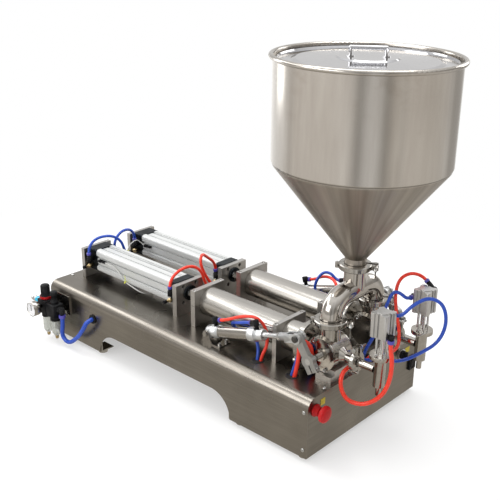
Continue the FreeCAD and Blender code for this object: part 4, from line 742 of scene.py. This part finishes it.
def cable_tie(name, centre, along, outward, inner, tail):
    """Yellow tie: band round a cable, its lock and a tail that curls away."""
    shape = bmesh.new()
    outer, half = inner + TIE_THICKNESS, TIE_WIDTH / 2
    lathe(shape, ((inner, -half), (outer, -half), (outer, half), (inner, half)), 24)
    root = inner + LOCK_OUT
    lock_place = Matrix.Translation((root, 0, 0)) @ Matrix.Diagonal((*LOCK_SIZE, 1))
    lock = bmesh.ops.create_cube(shape, size=1.0, matrix=lock_place)
    lock_edges = {edge for vert in lock["verts"] for edge in vert.link_edges}
    bmesh.ops.bevel(shape, geom=list(lock_edges), affect="EDGES", offset=LOCK_ROUNDING,
                    segments=2, profile=0.5, material=-1)
    section = Matrix.Diagonal((TAIL_SECTION[0], 1, TAIL_SECTION[1], 1))
    strip_place = (Matrix.Translation((root, TAIL_ASIDE, 0)) @ section
                   @ Matrix.Rotation(math.pi / 2, 4, "X"))
    strip = bmesh.ops.create_grid(shape, x_segments=1, y_segments=1, size=0.5, matrix=strip_place)
    faces = list({face for vert in strip["verts"] for face in vert.link_faces})
    bmesh.ops.spin(shape, geom=faces, cent=(root + TAIL_CURL_R, TAIL_ASIDE, 0), axis=(0, 0, 1),
                   angle=tail / TAIL_CURL_R, steps=10, use_merge=False)
    bmesh.ops.recalc_face_normals(shape, faces=shape.faces)
    along = Vector(along).normalized()
    side = along.cross(Vector(outward)).normalized()
    turn = Matrix((side.cross(along), side, along)).transposed().to_4x4()
    bmesh.ops.transform(shape, matrix=Matrix.Translation(centre) @ turn, verts=shape.verts)
    tie = add_shape(shape, name, [lime])
    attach(tie, "machine")
    return tie


def sensor_cable(name, tie_at, outward, tail, beside=None):
    """Cable with its tie, which also holds the hose beside it where there is one."""
    points = CABLES[name]
    cable = hose_line(name, points, CABLE_D)
    cable.data.materials.append(pale_cable)
    follow, length = line_points(cable)
    centre, along = near_point(follow, tie_at)
    inner = CABLE_D / 2 + TIE_PLAY
    if beside:
        across = near_point(hose_paths[beside], centre)[0] - centre
        hose_r = HOSES[beside][1] / 2
        inner = (across.length + hose_r + CABLE_D / 2) / 2 + TIE_PLAY
        centre = centre + across.normalized() * (inner - CABLE_D / 2)
    tie = cable_tie(name.replace("cable", "tie"), centre, along, outward, inner, tail)
    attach(cable, "machine")


# Outline of a grommet, (radius, height over the table): skin, rolled lip, skin. The skin is a dark
# sheet that paints the shade of the cabinet's inside over the hole
GROMMET_AND_SHADE_SKIN_PROFILE = (
    (0.0, -0.0016), (0.0127, -0.0016), (0.0127, 0.0), (0.0153, 0.0), (0.0158, 0.0006),
    (0.0150, 0.0013), (0.0136, 0.0015), (0.0122, 0.0009), (0.0115, -0.0005), (0.0, -0.0008))


def grommets_with_shade_skins():
    """Rolled lip on the table round each hole, and a thin skin that the hoses pass through. The
    skin is painted shade: a dark sheet where the cabinet's inside would lie in shade.
    """
    shape = bmesh.new()
    for x, y in HOSE_HOLES:
        lathe(shape, GROMMET_AND_SHADE_SKIN_PROFILE, 40, (x, y, TABLE_TOP), closed=False)
    bmesh.ops.remove_doubles(shape, verts=shape.verts, dist=SAME_POINT)
    bmesh.ops.recalc_face_normals(shape, faces=shape.faces)
    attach(add_shape(shape, "hose_hole_grommets_shade_skins", [rubber], sharp=50), "machine")


def make_camera():
    data = bpy.data.cameras.new("camera")
    data.sensor_width = 36.0
    data.lens = LENS_MM
    data.shift_x, data.shift_y = SHIFT
    data.clip_start = 0.05
    data.clip_end = 100.0
    camera = add_object("camera", data)
    camera.location = CAMERA_AT
    level = (CAMERA_AT - CAMERA_AIM).to_track_quat("Z", "Y")
    camera.rotation_mode = "QUATERNION"
    camera.rotation_quaternion = level @ Quaternion((0, 0, 1), CAMERA_ROLL)
    scene.camera = camera


def round_about(tree, x, y):
    """Darker and paler panels round the machine, read from a direction."""
    panels = tree.nodes.new("ShaderNodeValToRGB")
    stops = panels.color_ramp.elements
    while len(stops) < len(WALLS):
        stops.new(0.5)
    for stop, (degrees, bright, warmth) in zip(stops, WALLS):
        stop.position = (degrees + 180) / 360
        stop.color = (bright, bright * (1 - 0.04 * warmth), bright * (1 - 0.09 * warmth), 1.0)
    turn = maths(tree, "ARCTAN2", y, x)
    put(tree, panels.inputs[0], spread(tree, turn, 0.0, 1.0, -math.pi, math.pi))
    return panels.outputs["Color"]


def seen_straight(tree, ways):
    """1 for what the camera sees directly or through the clear bowls."""
    return maths(tree, "MAXIMUM", ways.outputs["Is Camera Ray"],
                 ways.outputs["Is Transmission Ray"])


WHITE = (1.0, 1.0, 1.0)
# Floor: its radius, the distances over which it fades to white for the camera, the share of
# white it has under the machine, and the distances over which mirrored panels come in
FLOOR_R = 40.0
FLOOR_FADE = (0.6, 1.5)
LEAST_WHITE = 0.45
PANEL_FADE = (0.5, 1.7)
MIRRORED_NEAR = (0.36, 0.34, 0.305)
MIRRORED_GAIN = 1.75
# Sky: brightness overhead, and the slopes between which it takes over from the panels
OVERHEAD = (1.15, 1.15, 1.15)
SKY_FADE = (0.25, 0.8)


def make_floor():
    """Pale floor that fades to white for the camera; metal sees it darker near the machine."""
    material, tree, shader, place = new_finish("studio_floor")
    put(tree, shader.inputs["Base Color"], (0.86, 0.86, 0.86))
    put(tree, shader.inputs["Roughness"], 0.9)
    put(tree, shader.inputs["Specular IOR Level"], 0.1)
    distance = vector_maths(tree, "LENGTH", place, result="Value")
    ways = tree.nodes.new("ShaderNodeLightPath")
    in_mirror = ways.outputs["Is Glossy Ray"]
    faded = maths(tree, "MULTIPLY", spread(tree, distance, LEAST_WHITE, 1.0, *FLOOR_FADE),
                  seen_straight(tree, ways))

    from_hopper = vector_maths(tree, "SUBTRACT", place, (HOPPER_X, 0.0, 0.0))
    x, y, _ = axes(tree, from_hopper)
    plain = blend_colours(tree, spread(tree, distance, 0.0, 1.0, *PANEL_FADE), MIRRORED_NEAR,
                          round_about(tree, x, y))
    brighter = tree.nodes.new("ShaderNodeVectorMath")
    brighter.operation = "SCALE"
    brighter.inputs["Scale"].default_value = MIRRORED_GAIN
    put(tree, brighter.inputs[0], plain)
    glow = tree.nodes.new("ShaderNodeEmission")
    put(tree, glow.inputs["Color"], blend_colours(tree, in_mirror, WHITE, brighter.outputs[0]))

    mix = tree.nodes.new("ShaderNodeMixShader")
    put(tree, mix.inputs[0], maths(tree, "MAXIMUM", faded, in_mirror))
    put(tree, mix.inputs[1], shader.outputs[0])
    put(tree, mix.inputs[2], glow.outputs[0])
    put(tree, tree.nodes["Material Output"].inputs["Surface"], mix.outputs[0])

    shape = bmesh.new()
    bmesh.ops.create_circle(shape, cap_ends=True, segments=64, radius=FLOOR_R)
    add_shape(shape, "floor", [material])


def make_sky():
    """Studio round the machine: bright overhead, with the same panels at its walls."""
    sky = bpy.data.worlds.new("studio")
    scene.world = sky
    sky.use_nodes = True
    tree = sky.node_tree
    background = tree.nodes["Background"]
    x, y, z = axes(tree, tree.nodes.new("ShaderNodeTexCoord").outputs["Generated"])
    height = spread(tree, z, 0.0, 1.0, *SKY_FADE)
    walls = blend_colours(tree, height, round_about(tree, x, y), OVERHEAD)
    seen = seen_straight(tree, tree.nodes.new("ShaderNodeLightPath"))
    put(tree, background.inputs["Color"], blend_colours(tree, seen, walls, WHITE))
    background.inputs["Strength"].default_value = 1.0


def lamp(name, place, aim, width, height, power):
    data = bpy.data.lights.new(name, "AREA")
    data.shape = "RECTANGLE"
    data.size = width
    data.size_y = height
    data.energy = power
    light = add_object(name, data)
    light.location = place
    light.rotation_mode = "QUATERNION"
    light.rotation_quaternion = (Vector(place) - Vector(aim)).to_track_quat("Z", "Y")


# The object
for name, finish in FINISHES.items():
    nodes[name].data.materials.clear()
    nodes[name].data.materials.append(finish)
for name, width in ROUNDED.items():
    round_edges(name, width)

for row in ROWS:
    dressed_copy(row + "_actuator_barrel", [aluminium["white"], steel["small_tube"], black],
                 small_barrel_finish)
    dressed_copy(row + "_actuator_rod",
                 [steel["chrome"], aluminium["white"], steel["screw"], steel["dark"]],
                 small_rod_finish)
for row in ROWS:
    dressed_copy(row + "_ram", [steel["chrome"], steel["clamp"], white_paint], ram_finish)
dressed_copy("push_in_fittings", [black, steel["chrome"], brass], fitting_finish)
dressed_copy("panel_fittings", [black, red, yellow, steel["chrome"]], panel_finish)
dressed_copy("service_unit_bowls", [clear_bowl, brass], bowl_finish)
dressed_copy("cabinet_feet", [rubber, steel["clamp"]], foot_finish)
dressed_copy("service_unit_body", [black, steel["clamp"], steel["dark"]], service_body_finish)
dressed_copy("pressure_gauge", [steel["clamp"], white_paint, black], gauge_finish)
dressed_copy("regulator_knob", [black, red], knob_finish)
dressed_copy("machine_screws", [steel["screw"], steel["dark"]], screw_finish)

for name, (colour, diameter, points) in HOSES.items():
    release_collar(name.replace("hose", "collar"), points[0], points[1], diameter / 2,
                   TILTING.get(name, "machine"))
hose_paths = {name: dress_hose(name, *route) for name, route in HOSES.items()}
sensor_cable("near_sensor_cable", (-0.262, -0.1192, 0.19), (0, -1, 0), 0.026)
sensor_cable("far_sensor_cable", (-0.373, -0.02, 0.23), (0.4, -1, 0), 0.004,
             "near_drive_rear_hose")
# Grommets round the table's holes, whose skins are painted shade over the holes
grommets_with_shade_skins()

# The studio
make_camera()
make_floor()
make_sky()
for values in LAMPS:
    lamp(*values)
scene.view_settings.view_transform = "Standard"
